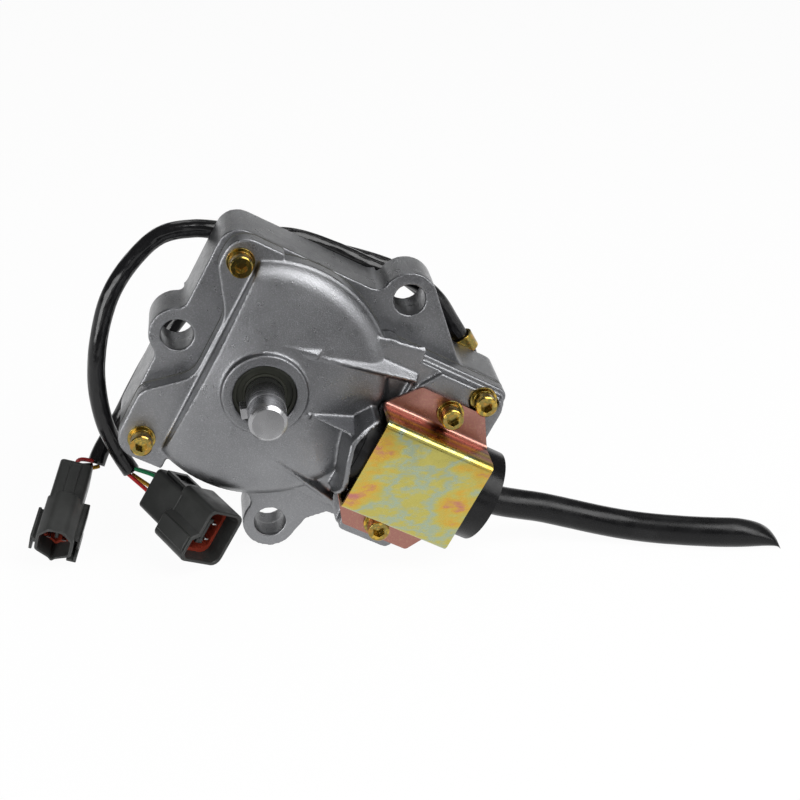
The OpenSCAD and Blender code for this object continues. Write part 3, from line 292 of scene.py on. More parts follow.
def dome_solid(name, lift=0.0):
    """The cover's dome: a shallow cone with a round shoulder, raised by lift above its foot.

    The shoulder is an arc down to the rim, and the cone runs on tangent to it, up to a small flat tip.
    """
    a = np.radians(np.linspace(0, 90 - DOME_SLOPE, 12))
    edge = DOME_R - SHOULDER_R + SHOULDER_R * np.cos(a), SHOULDER_S + SHOULDER_R * np.sin(a)
    top = edge[1][-1] + (edge[0][-1] - DOME_TIP_R) * math.tan(math.radians(DOME_SLOPE))
    profile = [(DOME_R, 0), *zip(*edge), (DOME_TIP_R, top)]
    return turned_solid(name, [(r, s + (lift if i else 0)) for i, (r, s) in enumerate(profile)])


def rib(name, start, end, crest, flank, depth, arch=0.0):
    """Wedge along the line from start to end, points (u, n, s), with a crest that wide on top.

    Each flank widens by its value of flank for each unit down, as far as depth. The line is lifted by
    arch in its middle, as 4 * share * (1 - share).
    """
    start, end = np.asarray(start, float), np.asarray(end, float)
    along = (end - start) / np.linalg.norm(end - start)
    side = np.array([-along[1], along[0], 0]) / math.hypot(along[0], along[1])
    up = np.cross(along, side)
    left, right = -crest / 2 - flank[0] * depth, crest / 2 + flank[1] * depth
    section = np.array([(-crest / 2, 0), (left, -depth), (right, -depth), (crest / 2, 0)])
    share = np.linspace(0, 1, 25)[:, None]
    line = start + share * (end - start) + arch * 4 * share * (1 - share) * np.array([0, 0, 1])
    points = line[:, None] + section[None, :, :1] * side + section[None, :, 1:] * up
    return grid_mesh(name, np.stack(drive_point(*np.moveaxis(points, -1, 0)), axis=-1))


def carve(mesh, steps):
    """Applies Boolean steps (operation, other mesh) to a mesh and gives the result."""
    obj = put(mesh, None)
    others = []
    for what, other in steps:
        tool = put(other, None)
        others.append(tool)
        step = obj.modifiers.new("step", "BOOLEAN")
        step.operation = what
        step.object = tool
        step.solver = "EXACT"
    return applied(obj, others)


def cut(mesh, *others):
    """A mesh less other meshes."""
    return carve(mesh, [("DIFFERENCE", other) for other in others])


def applied(obj, others=()):
    """The mesh that an object's modifiers give; the object and its helpers are removed."""
    result = bpy.data.meshes.new_from_object(obj.evaluated_get(bpy.context.evaluated_depsgraph_get()))
    for used in (obj, *others):
        bpy.data.objects.remove(used)
    return result


def joined(name, meshes):
    """One mesh of several."""
    b = bmesh.new()
    for part in meshes:
        b.from_mesh(part)
    mesh = bpy.data.meshes.new(name)
    b.to_mesh(mesh)
    b.free()
    return mesh


def cast_form(name, mesh, voxel, finish, rounds=3, limit=190000):
    """Runs solids together as one casting, a piece of no more triangles than limit.

    The solids are filled with cells of one size, their corners smoothed, and the result is thinned.
    """
    obj = put(mesh, finish)
    cells = obj.modifiers.new("cells", "REMESH")
    cells.mode = "VOXEL"
    cells.voxel_size = voxel
    soft = obj.modifiers.new("round", "SMOOTH")
    soft.factor = 0.5
    soft.iterations = rounds
    mesh = applied(obj)
    mesh.name = name
    obj = put(mesh, finish)
    count = sum(len(face.vertices) - 2 for face in mesh.polygons)
    if count > limit:
        thin = obj.modifiers.new("thin", "DECIMATE")
        thin.ratio = limit / count
        mesh = applied(obj)
        mesh.name = name
        obj = put(mesh, finish)
    smooth(mesh)
    return obj


def stand_for(obj, node):
    """Puts a piece in a CAD node's place: on the node's body, with the node hidden."""
    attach(obj, body_name(node))
    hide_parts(node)
    return obj


# Finishes


class Finish:
    """A node material: a Principled shader and small helpers that build what feeds it."""

    def __init__(self, name, **sockets):
        """Starts a material; each keyword sets the shader's socket of that name."""
        self.material = bpy.data.materials.new(name)
        self.material.use_nodes = True
        self.tree = self.material.node_tree
        self.shader = self.tree.nodes["Principled BSDF"]
        for key, value in sockets.items():
            self.shader.inputs[key.replace("_", " ")].default_value = value
        self.at = self.tree.nodes.new("ShaderNodeTexCoord").outputs["Object"]

    def node(self, kind, inputs=None, **settings):
        """A node with its inputs linked or set."""
        new = self.tree.nodes.new("ShaderNode" + kind)
        for key, value in settings.items():
            setattr(new, key, value)
        for key, value in (inputs or {}).items():
            if isinstance(value, bpy.types.NodeSocket):
                self.tree.links.new(value, new.inputs[key])
            else:
                new.inputs[key].default_value = value
        return new

    def noise(self, scale, detail=4, rough=0.55, stretch=None, where=None):
        """Noise of about scale cells for each metre, stretched by a factor for each axis."""
        at = where or self.at
        if stretch:
            at = self.node("Mapping", {"Vector": at, "Scale": stretch}).outputs[0]
        inputs = {"Vector": at, "Scale": scale, "Detail": detail, "Roughness": rough}
        return self.node("TexNoise", inputs).outputs[0]

    def ramp(self, value, stops):
        """Colour that runs through stops (value, colour)."""
        new = self.node("ValToRGB", {"Fac": value})
        elements = new.color_ramp.elements
        elements.remove(elements[1])
        elements[0].position = stops[0][0]
        elements[0].color = (*stops[0][1], 1)
        for at, rgb in stops[1:]:
            elements.new(at).color = (*rgb, 1)
        return new.outputs[0]

    def span(self, value, low, high, to_low=0.0, to_high=1.0):
        """Smooth step from to_low, at low, to to_high, at high."""
        inputs = {"Value": value, "From Min": low, "From Max": high, "To Min": to_low, "To Max": to_high}
        return self.node("MapRange", inputs, interpolation_type="SMOOTHSTEP").outputs[0]

    def mix(self, share, a, b):
        """Colour a, and as much of b as share says."""
        new = self.node("Mix", data_type="RGBA")
        for key, value in ((0, share), (6, a), (7, b)):
            if isinstance(value, bpy.types.NodeSocket):
                self.tree.links.new(value, new.inputs[key])
            else:
                new.inputs[key].default_value = value if key == 0 else (*value[:3], 1)
        return new.outputs[2]

    def math(self, what, a, b=0.0):
        """One operation on two values."""
        return self.node("Math", {0: a, 1: b}, operation=what).outputs[0]

    def feed(self, socket, value):
        """Links a value to a socket of the shader."""
        self.tree.links.new(value, self.shader.inputs[socket])

    def bump(self, height, distance, strength=1.0, under=None):
        """Bump of that height in metres, on top of another bump where one is given."""
        inputs = {"Height": height, "Distance": distance, "Strength": strength}
        if under is not None:
            inputs["Normal"] = under
        new = self.node("Bump", inputs)
        self.tree.links.new(new.outputs[0], self.shader.inputs["Normal"])
        return new.outputs[0]

    def axis(self, name):
        """One coordinate of the surface."""
        return self.node("SeparateXYZ", {"Vector": self.at}).outputs[name]


def cast_finish(s):
    """Bare cast aluminium: mottled grey metal with a fine, sparkling grain over a softer unevenness."""
    f = Finish("cast_skin", Metallic=0.94, Roughness=0.4)
    broad = f.noise(16, 3)
    fine = f.noise(1900, 4, 0.6)
    tone = f.mix(f.span(broad, 0.3, 0.72), s.dark, s.tone)
    bright = tuple(min(1, c * 1.35) for c in s.tone)
    f.feed("Base Color", f.mix(f.span(fine, 0.48, 0.66, 0, 0.5), tone, bright))
    f.feed("Roughness", f.span(f.noise(240, 3), 0.3, 0.7, 0.27, 0.36))
    soft = f.bump(f.noise(420, 3), s.grain * 0.8, 0.4)
    f.bump(fine, s.grain, 1.0, soft)
    return f.material


def bracket_tone(f, s):
    """Colour of the folded bracket: blooms on its face, stripes down its step, pink on its flanges.

    The blooms follow a cloud, which is lifted towards the middle of the bracket's length. The stripes
    follow the depth below the face, and the last of them is the flanges' own colour.
    """
    along = (math.cos(TILT), 0, -math.sin(TILT))
    run = f.node("VectorMath", {0: f.at, 1: along}, operation="DOT_PRODUCT").outputs[1]
    cloud = f.noise(48, 6, 0.62, stretch=(1, 1, 2.2))
    off = f.math("DIVIDE", f.math("SUBTRACT", run, BRACKET_MIDDLE), BRACKET_HALF)
    middle = f.math("SUBTRACT", 1, f.math("ABSOLUTE", off))
    lift = f.math("MULTIPLY", f.span(middle, 0, 0.8), 0.2)
    bloom = f.math("ADD", lift, f.math("MULTIPLY", cloud, 1.2))
    top = f.ramp(bloom, [(0.44, s.pink), (0.56, s.gold), (0.68, s.green), (0.78, s.blue), (0.88, s.green)])
    face_y, seat_y = (float(corner[1]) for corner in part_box("motor_bracket"))
    deep = f.span(f.axis("Y"), face_y + 0.0012, seat_y - 0.001)
    stripes = f.math("ADD", deep, f.math("MULTIPLY", f.noise(30, 3), 0.16))
    step = f.ramp(stripes, [(0.04, s.pink), (0.14, s.gold), (0.3, s.pink), (0.42, s.amber),
                            (0.6, s.gold), (0.76, s.flange), (0.9, s.pink), (1.0, s.flange)])
    return f.mix(f.span(deep, 0.0, 0.03), top, step)


def plated_finish(s, name, sheet=False):
    """Yellow chromate: clouds from amber to gold on small pieces, and the bracket's own tones."""
    f = Finish(name, Metallic=1.0, Roughness=0.25)
    speck = f.noise(900, 3)
    if sheet:
        tone = bracket_tone(f, s)
        rough = (0.2, 0.34)
    else:
        tone = f.ramp(f.noise(260, 4, 0.6), [(0.36, s.amber), (0.5, s.olive), (0.62, s.gold)])
        rough = (0.12, 0.22)
    f.feed("Base Color", f.mix(f.span(speck, 0.5, 0.75, 0, 0.15), tone, (0.7, 0.6, 0.3)))
    f.feed("Roughness", f.span(f.noise(120, 4), 0.3, 0.7, *rough))
    f.bump(speck, 0.00002, 0.4)
    return f.material


def steel_finish(name, tone, rough, turned=False):
    """Steel or other bare metal: a little cloudiness and fine marks, in rings on the turned shaft."""
    f = Finish(name, Metallic=1.0, Roughness=rough)
    marks = f.noise(500, 3, 0.6, stretch=(0.12, 5, 0.12) if turned else (1, 1, 1))
    f.feed("Base Color", f.mix(f.span(f.noise(60, 4), 0.35, 0.7), tone, tuple(c * 0.8 for c in tone)))
    f.feed("Roughness", f.span(marks, 0.3, 0.7, rough - 0.08, rough + 0.1))
    f.bump(marks, 0.000006, 0.5)
    return f.material


def plastic_finish(name, tone, rough):
    """Moulded plastic or rubber: an even colour, a little lighter where it is worn, and a fine grain."""
    f = Finish(name, Metallic=0.0, Roughness=rough, Specular_IOR_Level=0.25)
    worn = tuple(min(1, c * 1.5 + 0.01) for c in tone)
    f.feed("Base Color", f.mix(f.span(f.noise(45, 5), 0.45, 0.75, 0, 0.6), tone, worn))
    f.feed("Roughness", f.span(f.noise(160, 4), 0.3, 0.7, rough - 0.06, rough + 0.1))
    f.bump(f.noise(1400, 2), 0.00004, 0.6)
    return f.material


def vinyl_finish(tone):
    """Glossy black vinyl sleeve: long soft wrinkles along it and a slight haze.

    The noise is read on a cylinder, whose turn is the attribute around and whose height is along.
    """
    f = Finish("lead_vinyl", Metallic=0.0, Roughness=0.16, Specular_IOR_Level=0.4)
    around = f.node("Attribute", attribute_name="around").outputs["Fac"]
    along = f.node("Attribute", attribute_name="along").outputs["Fac"]
    turn = f.math("MULTIPLY", around, 2 * math.pi)
    wrap = f.node("CombineXYZ", {"X": f.math("COSINE", turn), "Y": f.math("SINE", turn),
                                 "Z": f.math("MULTIPLY", along, 26)}).outputs[0]
    haze = f.span(f.noise(3, 3, where=wrap), 0.4, 0.8, 0, 0.5)
    f.feed("Base Color", f.mix(haze, tone, tuple(2 * c for c in tone)))
    f.feed("Roughness", f.span(f.noise(300, 3), 0.3, 0.7, 0.12, 0.24))
    f.bump(f.noise(0.9, 2, where=wrap), 0.0012, 0.6)
    return f.material


# CAD pieces, with rounded edges and finishes


def merged_copy(node, name):
    """The node's triangles joined at their corners, and flat regions dissolved into single faces."""
    mesh = frame["nodes"][node].data.copy()
    mesh.name = name
    b = bmesh.new()
    b.from_mesh(mesh)
    bmesh.ops.remove_doubles(b, verts=b.verts, dist=MERGE)
    bmesh.ops.dissolve_limit(b, angle_limit=math.radians(FLAT), verts=b.verts, edges=b.edges)
    b.to_mesh(mesh)
    b.free()
    return mesh


def body_name(node):
    """The body that carries a node."""
    bodies = frame["record"]["behaviour"]["bodies"]
    return next(name for name, nodes in bodies.items() if node in nodes)


def round_edges(obj, width):
    """Rounds an object's sharp edges by that width."""
    bevel = obj.modifiers.new("edges", "BEVEL")
    bevel.width = width
    bevel.segments = 2
    bevel.limit_method = "ANGLE"
    return bevel


def dress(node, finish, edge):
    """Stands for a CAD node: its own shape with rounded edges and a finish."""
    mesh = merged_copy(node, "dressed_" + node)
    obj = put(mesh, finish)
    smooth(mesh, SHARP)
    bevel = round_edges(obj, edge)
    bevel.angle_limit = math.radians(SHARP)
    bevel.harden_normals = True
    bevel.use_clamp_overlap = True
    return stand_for(obj, node)


def repaint(node, finish):
    """A better finish on a CAD node that keeps its mesh."""
    mesh = frame["nodes"][node].data
    mesh.materials.clear()
    mesh.materials.append(finish)


# Leads and hose


def tube_piece(name, points, diameter, finish, node, sides=24, wrinkle=0.0, mitre=0.0):
    """A lead or hose: a circle carried along a smooth line, drawn in by up to the share wrinkle.

    The waves are sines of the run along the line, and one of them also goes round it twice. Over the
    last mitre metres the height above the lowest point shrinks as the root of 1 - share ** 1.8,
    nearly a quarter of an ellipse, for an end that is cut at a slant.
    """
    line, length = smooth_line(points)
    run = np.linspace(0, length, len(line))[:, None]
    a = np.linspace(0, 2 * np.pi, sides, endpoint=False)[None, :]
    wave = np.sin(run * 210 + 2 * np.sin(run * 70)) * 0.5 + np.sin(2 * a + run * 130)
    radius = diameter / 2 * (1 - wrinkle * (1 + 0.5 * wave) / 1.75)
    rings = rings_along(line, radius)
    if mitre:
        share = np.clip(1 + (run - length) / mitre, 0, 1)
        foot = rings[..., 2].min(axis=1, keepdims=True)
        rings[..., 2] = foot + (rings[..., 2] - foot) * np.maximum(0.04, np.sqrt(1 - share ** 1.8))
    obj = stand_for(put(grid_mesh(name, rings), finish), node)
    return obj, line, length


def row_points(points):
    """Points given in millimetres, in metres."""
    return [tuple(MM * v for v in point) for point in points]


# Routes as in part.scad: first from the outlets on the drive frame, then in the row's own frame
OUTLET_S = -36
MOTOR_LEAD = [drive_point(u, n, OUTLET_S) for u, n in (
    (94, 6), (94, 18), (96, 28), (94.5, 36.5), (88.5, 41.7), (78, 48.5), (66, 55.5), (52, 59),
    (35, 56.7), (12, 56), (-8, 53.5), (-25, 46.5))] + row_points((
        (-12, 81, 55), (-27, 81, 57), (-42, 79.5, 55), (-55, 76.5, 45), (-66, 73.5, 30), (-73, 71, 9),
        (-75.5, 70, -12), (-73.5, 70, -32), (-68, 71, -49), (-63, 70, -58.5)))
SENSOR_LEAD = [drive_point(79, 6, OUTLET_S), drive_point(79, 18, OUTLET_S)] + row_points((
    (83, 85, -16.5), (89.5, 90, -12), (93, 91.5, -5), (89, 91.5, 6), (81, 91.5, 17), (66, 91.5, 29),
    (46, 91.5, 37), (24, 92, 42), (4, 92, 40), (-16, 92, 30), (-34, 92, 13), (-49, 92, -8),
    (-60, 92, -27), (-67, 91.5, -39.5), (-73, 88, -48), (-77.5, 84.5, -54.5), (-80, 81.5, -59.5)))
HOSE = [drive_point(114.5, MOTOR_N, MOTOR_S), drive_point(121, MOTOR_N, MOTOR_S)] + row_points((
    (109, 33, -66.8), (118, 34, -69.5), (128, 34.5, -72), (142, 34, -76), (156, 32.5, -79.6),
    (168, 30, -81.6), (180, 26.5, -82.4), (202, 20.5, -82.5), (220, 17.5, -82.5), (239, 18, -82.5)))
# Length of the hose's slanted end
HOSE_CUT = 0.024


# Cover, in millimetres of the drive frame


# The dome: its radius and slope, its round shoulder and the flat tip that the shaft's boss hides
DOME_R = 57.2
DOME_SLOPE = 14
DOME_TIP_R = 0.5
SHOULDER_R = 12
SHOULDER_S = 4.5
# Heights of the shelf under the hood, of the hood's hollow and well above the cover
SHELF_S = 12
HOLLOW_S = 16.5
TOP_S = 60
# The hood round the motor's nose: its corners (u, n, r), its wall and how much it widens at its
# foot, its radius about the motor, its reach along it, its height and its open end
HOOD_NOSE = ((51.8, 11.6, 1), (47.2, 6.4, 8), (44, -0.4, 6), (46.4, -9.5, 14), (51.8, -22.8, 1),
             (62, -22.8, 0.1), (62, 11.6, 0.1))
HOOD_WALL = 2.4
HOOD_FOOT = 1.6
HOOD_R = 25.4
HOOD_U = (36, 56)
HOOD_TOP_S = 40
HOOD_OPEN_U = HOOD_NOSE[0][0]
# Corners (u, n, s) of blocks: the wall beside the hood, what lies beyond its open end, what clears
# the solid's hood and arm, the shelf, and what the motor's pieces are trimmed with
HOOD_SIDE = ((HOOD_OPEN_U - HOOD_WALL, -32, 6), (HOOD_OPEN_U + 5, 9, 32))
BEYOND_HOOD = ((HOOD_OPEN_U, -60, -1), (130, 60, TOP_S))
ABOVE_DOME = ((23.5, -41, SHELF_S), (52.3, 18, TOP_S))
ABOVE_ARM = ((14, 18, 12.2), (61.5, 46, TOP_S))
SHELF = ((39, -32, SHELF_S), (HOOD_OPEN_U, 16.5, TOP_S))
TRIM = ((30, -60, SHELF_S), (HOOD_OPEN_U - 0.1, 60, TOP_S))
# Radius and reach of the way through the shelf for the worm's shaft
WORM_WAY_R = 3.4
WORM_WAY_U = (30, 60)
# Start, end, crest, flanks, depth and arch of each rib, and centre and radius of each boss
RIBS = (((-1.7, 22.1, 22.6), (61.3, 30.9, 15.1), 0.7, (0.3, 0.8), 6.5, 1.0),
        ((23, -1.3, 22), (44.4, 2, 34), 1, (0.08, 0.16), 16),
        ((-5, -22.8, 22.9), (54.4, -38.7, 15.6), 1, (0.25, 0.4), 12))
COVER_BOSSES = ((43.8, 37.4, 5.8), (49.2, -27.9, 3))
BOSS_S = (1, 12)


def round_boss(u, n, r):
    """A round boss on the cover: a circle of 48 points between its two heights."""
    outline = [(u + r * math.cos(a), n + r * math.sin(a)) for a in np.arange(48) * math.pi / 24]
    return drive_slab("boss", outline, *BOSS_S)


# Connectors, in millimetres from the middle of each one's mouth: z out of the mouth, y up


# Place of the mouth, turns about x, y and z, width, height and length, width and height behind,
# the ways of the wires, and how far apart the wires leave their sleeve
FOUR_WAY = dict(at=(-26.1, 22.6, -71.4), turn=(102, 30, 38), size=(24.6, 27.3, 42.8), rear=(18.9, 20.7),
                holes=((-4, 4), (4, 4), (-4, -4), (4, -4)), spread=0.4)
THREE_WAY = dict(at=(-98.2, 31.6, -75.5), turn=(113, 16, -6), size=(22.4, 24, 44.1), rear=(15.5, 18),
                 holes=((0, 4), (-3.6, -3), (3.6, -3)), spread=0.45)
# Depth of a mouth and thickness of its wall
MOUTH = 20
SHELL = 1.5


def plug_point(plug, x, y, z):
    """Point of a connector, in metres: turned about x, y and z in this order, then moved to its place."""
    ax, ay, az = (math.radians(v) for v in plug["turn"])
    y, z = y * math.cos(ax) - z * math.sin(ax), y * math.sin(ax) + z * math.cos(ax)
    x, z = x * math.cos(ay) + z * math.sin(ay), z * math.cos(ay) - x * math.sin(ay)
    x, y = x * math.cos(az) - y * math.sin(az), x * math.sin(az) + y * math.cos(az)
    return tuple(MM * (a + b) for a, b in zip(plug["at"], (x, y, z)))


def plug_slab(name, plug, outline, low, high):
    """Loft over an outline square to a connector's axis."""
    ends = [[plug_point(plug, x, y, z) for x, y in outline] for z in (low, high)]
    return loft(name, *ends)


def plug_block(plug, x, y, z):
    """Box on a connector, from pairs of limits."""
    return plug_slab("block", plug, [(x[0], y[0]), (x[1], y[0]), (x[1], y[1]), (x[0], y[1])], *z)


def box_outline(w, h, r):
    """Rectangle with rounded corners."""
    corners = [(w / 2, h / 2, r), (-w / 2, h / 2, r), (-w / 2, -h / 2, r), (w / 2, -h / 2, r)]
    return rounded_outline(corners, 4)


def four_way_outline(inset):
    """Mouth of the four-way connector: its left wall steps in above the middle, as a key."""
    x, y = FOUR_WAY["size"][0] / 2 - inset, FOUR_WAY["size"][1] / 2 - inset
    step = x - 3.4
    return rounded_outline([(x, y, 4), (-step, y, 3), (-step, 1 - inset, 0.5), (-x, -1.2 - inset, 0.5),
                            (-x, -y, 3), (x, -y, 4.5)], 5)


def three_way_outline(inset):
    """Mouth of the three-way connector: six soft sides with a small keel below."""
    x, y = THREE_WAY["size"][0] / 2 - 2.6 - inset, THREE_WAY["size"][1] / 2 - inset
    return rounded_outline([(x, y * 0.5, 3), (x * 0.45, y, 4), (-x * 0.45, y, 4), (-x, y * 0.5, 3),
                            (-x, -y * 0.45, 3), (-x * 0.2, -y * 0.8, 2), (0, -y, 0.8),
                            (x * 0.2, -y * 0.8, 2), (x, -y * 0.45, 3)], 5)


def four_way_parts(plug):
    """The four-way connector's rail with its latch way, its key rib and the island between its blades."""
    (w, h, long), (rw, rh) = plug["size"], plug["rear"]
    latch = plug_block(plug, (-rw * 0.2, rw * 0.2), (rh / 2 - 0.6, rh / 2 + 4), (-long + 6, -long + 14))
    rail = plug_block(plug, (-rw * 0.34, rw * 0.34), (rh / 2 - 1, rh / 2 + 1.5), (-long + 3, -MOUTH - 1))
    key = (-w / 2 - 1, -w / 2 + 1), (-h / 2 + 4, -1.5), (-MOUTH - 2, -1)
    island = (-1, 1), (-6, 6), (-MOUTH - 1, -6)
    foot = (-2, 2), (-6.5, -4), (-MOUTH - 1, -6.2)
    head = (-2, 2), (4, 6.5), (-MOUTH - 1, -6.2)
    return [cut(rail, latch), *(plug_block(plug, *limits) for limits in (key, island, foot, head))]


def three_way_parts(plug):
    """The three-way connector's flanges on both sides, the island between its blades and its latch."""
    (w, h, long), rh = plug["size"], plug["rear"][1]
    right, left = w / 2, -w / 2
    blocks = (((right - 4, right), (2, 5.4), (-MOUTH - 4, -4)),
              ((right - 1.4, right), (-4, 5.4), (-MOUTH - 4, -4)),
              ((right - 4.6, right), (-h * 0.42, -h * 0.36), (-MOUTH + 4, -1)),
              ((right - 1.4, right), (-h * 0.42, -6), (-MOUTH + 4, -1)),
              ((left, left + 3.2), (-1.5, 2), (-MOUTH + 2, -1)),
              ((left, left + 1.5), (-h * 0.3, 3), (-MOUTH + 2, -1)),
              ((-0.9, 0.9), (-3, 3), (-MOUTH - 1, -7)),
              ((-2.6, 2.6), (rh / 2 - 1, rh / 2 + 0.8), (-long + 2, -MOUTH - 2)))
    return [plug_block(plug, *limits) for limits in blocks]


def connector_body(kind, plug, outline, parts, finish):
    """A connector's housing: a hollow mouth, a smaller rear with a window in its side, and its own parts."""
    long, (rw, rh) = plug["size"][2], plug["rear"]
    cavity = plug_slab("cavity", plug, outline(SHELL), -MOUTH, 1)
    shell = cut(plug_slab("shell", plug, outline(0), -MOUTH - 3, 0), cavity)
    window = plug_block(plug, (rw / 2 - 1, rw / 2 + 3), (-rh * 0.1, rh * 0.18), (-MOUTH - 8, -MOUTH - 4.6))
    rear = cut(plug_slab("rear", plug, box_outline(rw, rh, 2), -long, -MOUTH - 1), window)
    body = put(joined(kind + "_plug_body", [shell, rear, *parts(plug)]), finish)
    round_edges(body, 0.0004)
    smooth(body.data, 35)
    return stand_for(body, kind + "_connector")


def connector_seal(kind, plug, outline, finish):
    """A connector's seal: a hollow ring in the rear half of its mouth."""
    way = plug_slab("seal_way", plug, outline(SHELL + 1.7), -MOUTH - 1, 1)
    ring = plug_slab("seal", plug, outline(SHELL + 0.05), -MOUTH, -MOUTH + 11)
    seal = cut(ring, way)
    seal.name = kind + "_plug_seal"
    return stand_for(put(seal, finish), kind + "_connector_seal")


def connector_pins(kind, plug, finish):
    """A connector's flat blades, one in each way."""
    blades = [plug_block(plug, (x - 1.1, x + 1.1), (y - 0.35, y + 0.35), (-MOUTH, -6.8))
              for x, y in plug["holes"]]
    return stand_for(put(joined(kind + "_plug_pins", blades), finish), kind + "_connector_pins")


def connector_wires(kind, plug, lead, wire, finishes):
    """Wires from a lead's end to a connector's rear, each a smooth line fanned out to its own way."""
    long = plug["size"][2]
    strands = []
    for i, (x, y) in enumerate(plug["holes"]):
        fan = np.array(plug_point(plug, x, y, 0)) - np.array(plug_point(plug, 0, 0, 0))
        start = np.array(lead[-1]) + fan * plug["spread"]
        line = smooth_line([start, plug_point(plug, x, y, -long - 5), plug_point(plug, x, y, -long + 1)])[0]
        strand = grid_mesh("strand", rings_along(line, np.full((len(line), 12), wire / 2)))
        strand.polygons.foreach_set("material_index", np.full(len(strand.polygons), i))
        strands.append(strand)
    wires = joined(kind + "_plug_wires", strands)
    obj = put(wires, None)
    for finish in finishes:
        wires.materials.append(finish)
    return stand_for(obj, kind + "_wires")


WIRE_TONES = {"red": (0.42, 0.02, 0.02), "green": (0.01, 0.16, 0.06), "gold": (0.62, 0.33, 0.02),
              "black": (0.012, 0.012, 0.013)}
# Each connector's name, measures, mouth, own parts, lead and colours of its wires
CONNECTORS = (
    ("motor", FOUR_WAY, four_way_outline, four_way_parts, MOTOR_LEAD, ("green", "black", "red", "gold")),
    ("sensor", THREE_WAY, three_way_outline, three_way_parts, SENSOR_LEAD, ("red", "black", "gold")))


# Studio, in metres


# The camera's place, and how far it looks down and to its right, in degrees
CAMERA_AT = (-0.0211, -0.6179, 0.2885)
CAMERA_DOWN = 24.6
CAMERA_RIGHT = 7.2
# Place, size and share of the key light's power of each lamp, and the point that they face
LAMPS = {"key": ((0.5, -0.4, 0.9), 0.7, 1.0), "low": ((-0.6, -0.6, 0.1), 0.5, 0.5),
         "right": ((0.8, -0.5, 0.45), 0.5, 0.4), "back": ((0.1, 0.8, 0.9), 0.6, 0.2)}
LIT_POINT = (0.0, 0.0, -0.03)
WORLD_STRENGTH = 0.14
# Share of plain white in what the camera and reflections see of the floor; the rest takes the shadow
FLOOR_WHITE = 0.96
# Half the floor's side, where its edge starts to rise, and how high it rises
FLOOR_HALF = 30
FLOOR_FLAT = 26
FLOOR_RISE = 6
# Corners (x, y, r) of the card that darkens what bare metal reflects of the floor in front, and
# the card's height above the floor, which is also its thickness
DARK_CARD = ((-1.6, -1.5, 0.05), (1.6, -1.5, 0.05), (1.6, -0.21, 0.05), (-1.6, -0.21, 0.05))
CARD_LIFT = 0.002


def studio_floor(tone):
    """A wide sheet whose height rises at its edges with the square of the way from its flat part."""
    side = np.linspace(-FLOOR_HALF, FLOOR_HALF, 61)
    x, y = np.meshgrid(side, side, indexing="ij")
    width = FLOOR_HALF - FLOOR_FLAT
    rise = np.clip(np.maximum(abs(x), abs(y)) - FLOOR_FLAT, 0, width) / width
    grid = np.stack([x, y, FLOOR + FLOOR_RISE * rise ** 2], axis=-1)
    f = Finish("floor_paper", Roughness=0.9)
    f.shader.inputs["Base Color"].default_value = (*tone, 1)
    path = f.node("LightPath")
    glow = f.node("Emission", {"Color": (1, 1, 1, 1), "Strength": 1.0})
    mirrored = f.math("MAXIMUM", path.outputs["Is Glossy Ray"], path.outputs["Is Transmission Ray"])
    seen = f.math("MULTIPLY", f.math("MAXIMUM", path.outputs["Is Camera Ray"], mirrored), FLOOR_WHITE)
    blend = f.node("MixShader", {0: seen, 1: f.shader.outputs[0], 2: glow.outputs[0]})
    f.tree.links.new(blend.outputs[0], f.tree.nodes["Material Output"].inputs["Surface"])
    return put(grid_mesh("studio_floor", grid, closed=False, caps=False), f.material)


def studio_lamp(name, place, size, power):
    """A square soft lamp that faces the object."""
    data = bpy.data.lights.new(name, "AREA")
    data.size = size
    data.energy = power
    lamp = bpy.data.objects.new(name, data)
    lamp.location = place
    to = np.array(LIT_POINT) - np.array(place)
    down = math.acos(-to[2] / np.linalg.norm(to))
    lamp.rotation_euler = (down, 0, math.atan2(to[1], to[0]) - math.pi / 2)
    bpy.context.scene.collection.objects.link(lamp)


def dark_card():
    """A thin card on the floor in front, which only reflections see."""
    low = [(x, y, FLOOR + CARD_LIFT) for x, y in rounded_outline(DARK_CARD)]
    high = [(x, y, z + CARD_LIFT) for x, y, z in low]
    f = Finish("dark_card", Roughness=0.9)
    f.shader.inputs["Base Color"].default_value = (0.03, 0.03, 0.03, 1)
    card = put(loft("dark_card", low, high), f.material)
    card.visible_camera = False
    card.visible_shadow = False
    card.visible_diffuse = False
    return card


# Operators


class THROTTLE_OT_studio_camera(bpy.types.Operator):
    """Sets the camera where the photograph was taken from"""
    bl_idname = "throttle.studio_camera"
    bl_label = "Studio Camera"

    def execute(self, context):
        s = context.scene.throttle_studio
        data = bpy.data.cameras.new("studio_camera")
        data.lens = s.lens
        data.sensor_width = 36
        data.clip_start = 0.01
        camera = bpy.data.objects.new("studio_camera", data)
        camera.location = CAMERA_AT
        camera.rotation_euler = (math.radians(90 - CAMERA_DOWN), 0, math.radians(-CAMERA_RIGHT))
        context.scene.collection.objects.link(camera)
        context.scene.camera = camera
        return {"FINISHED"}


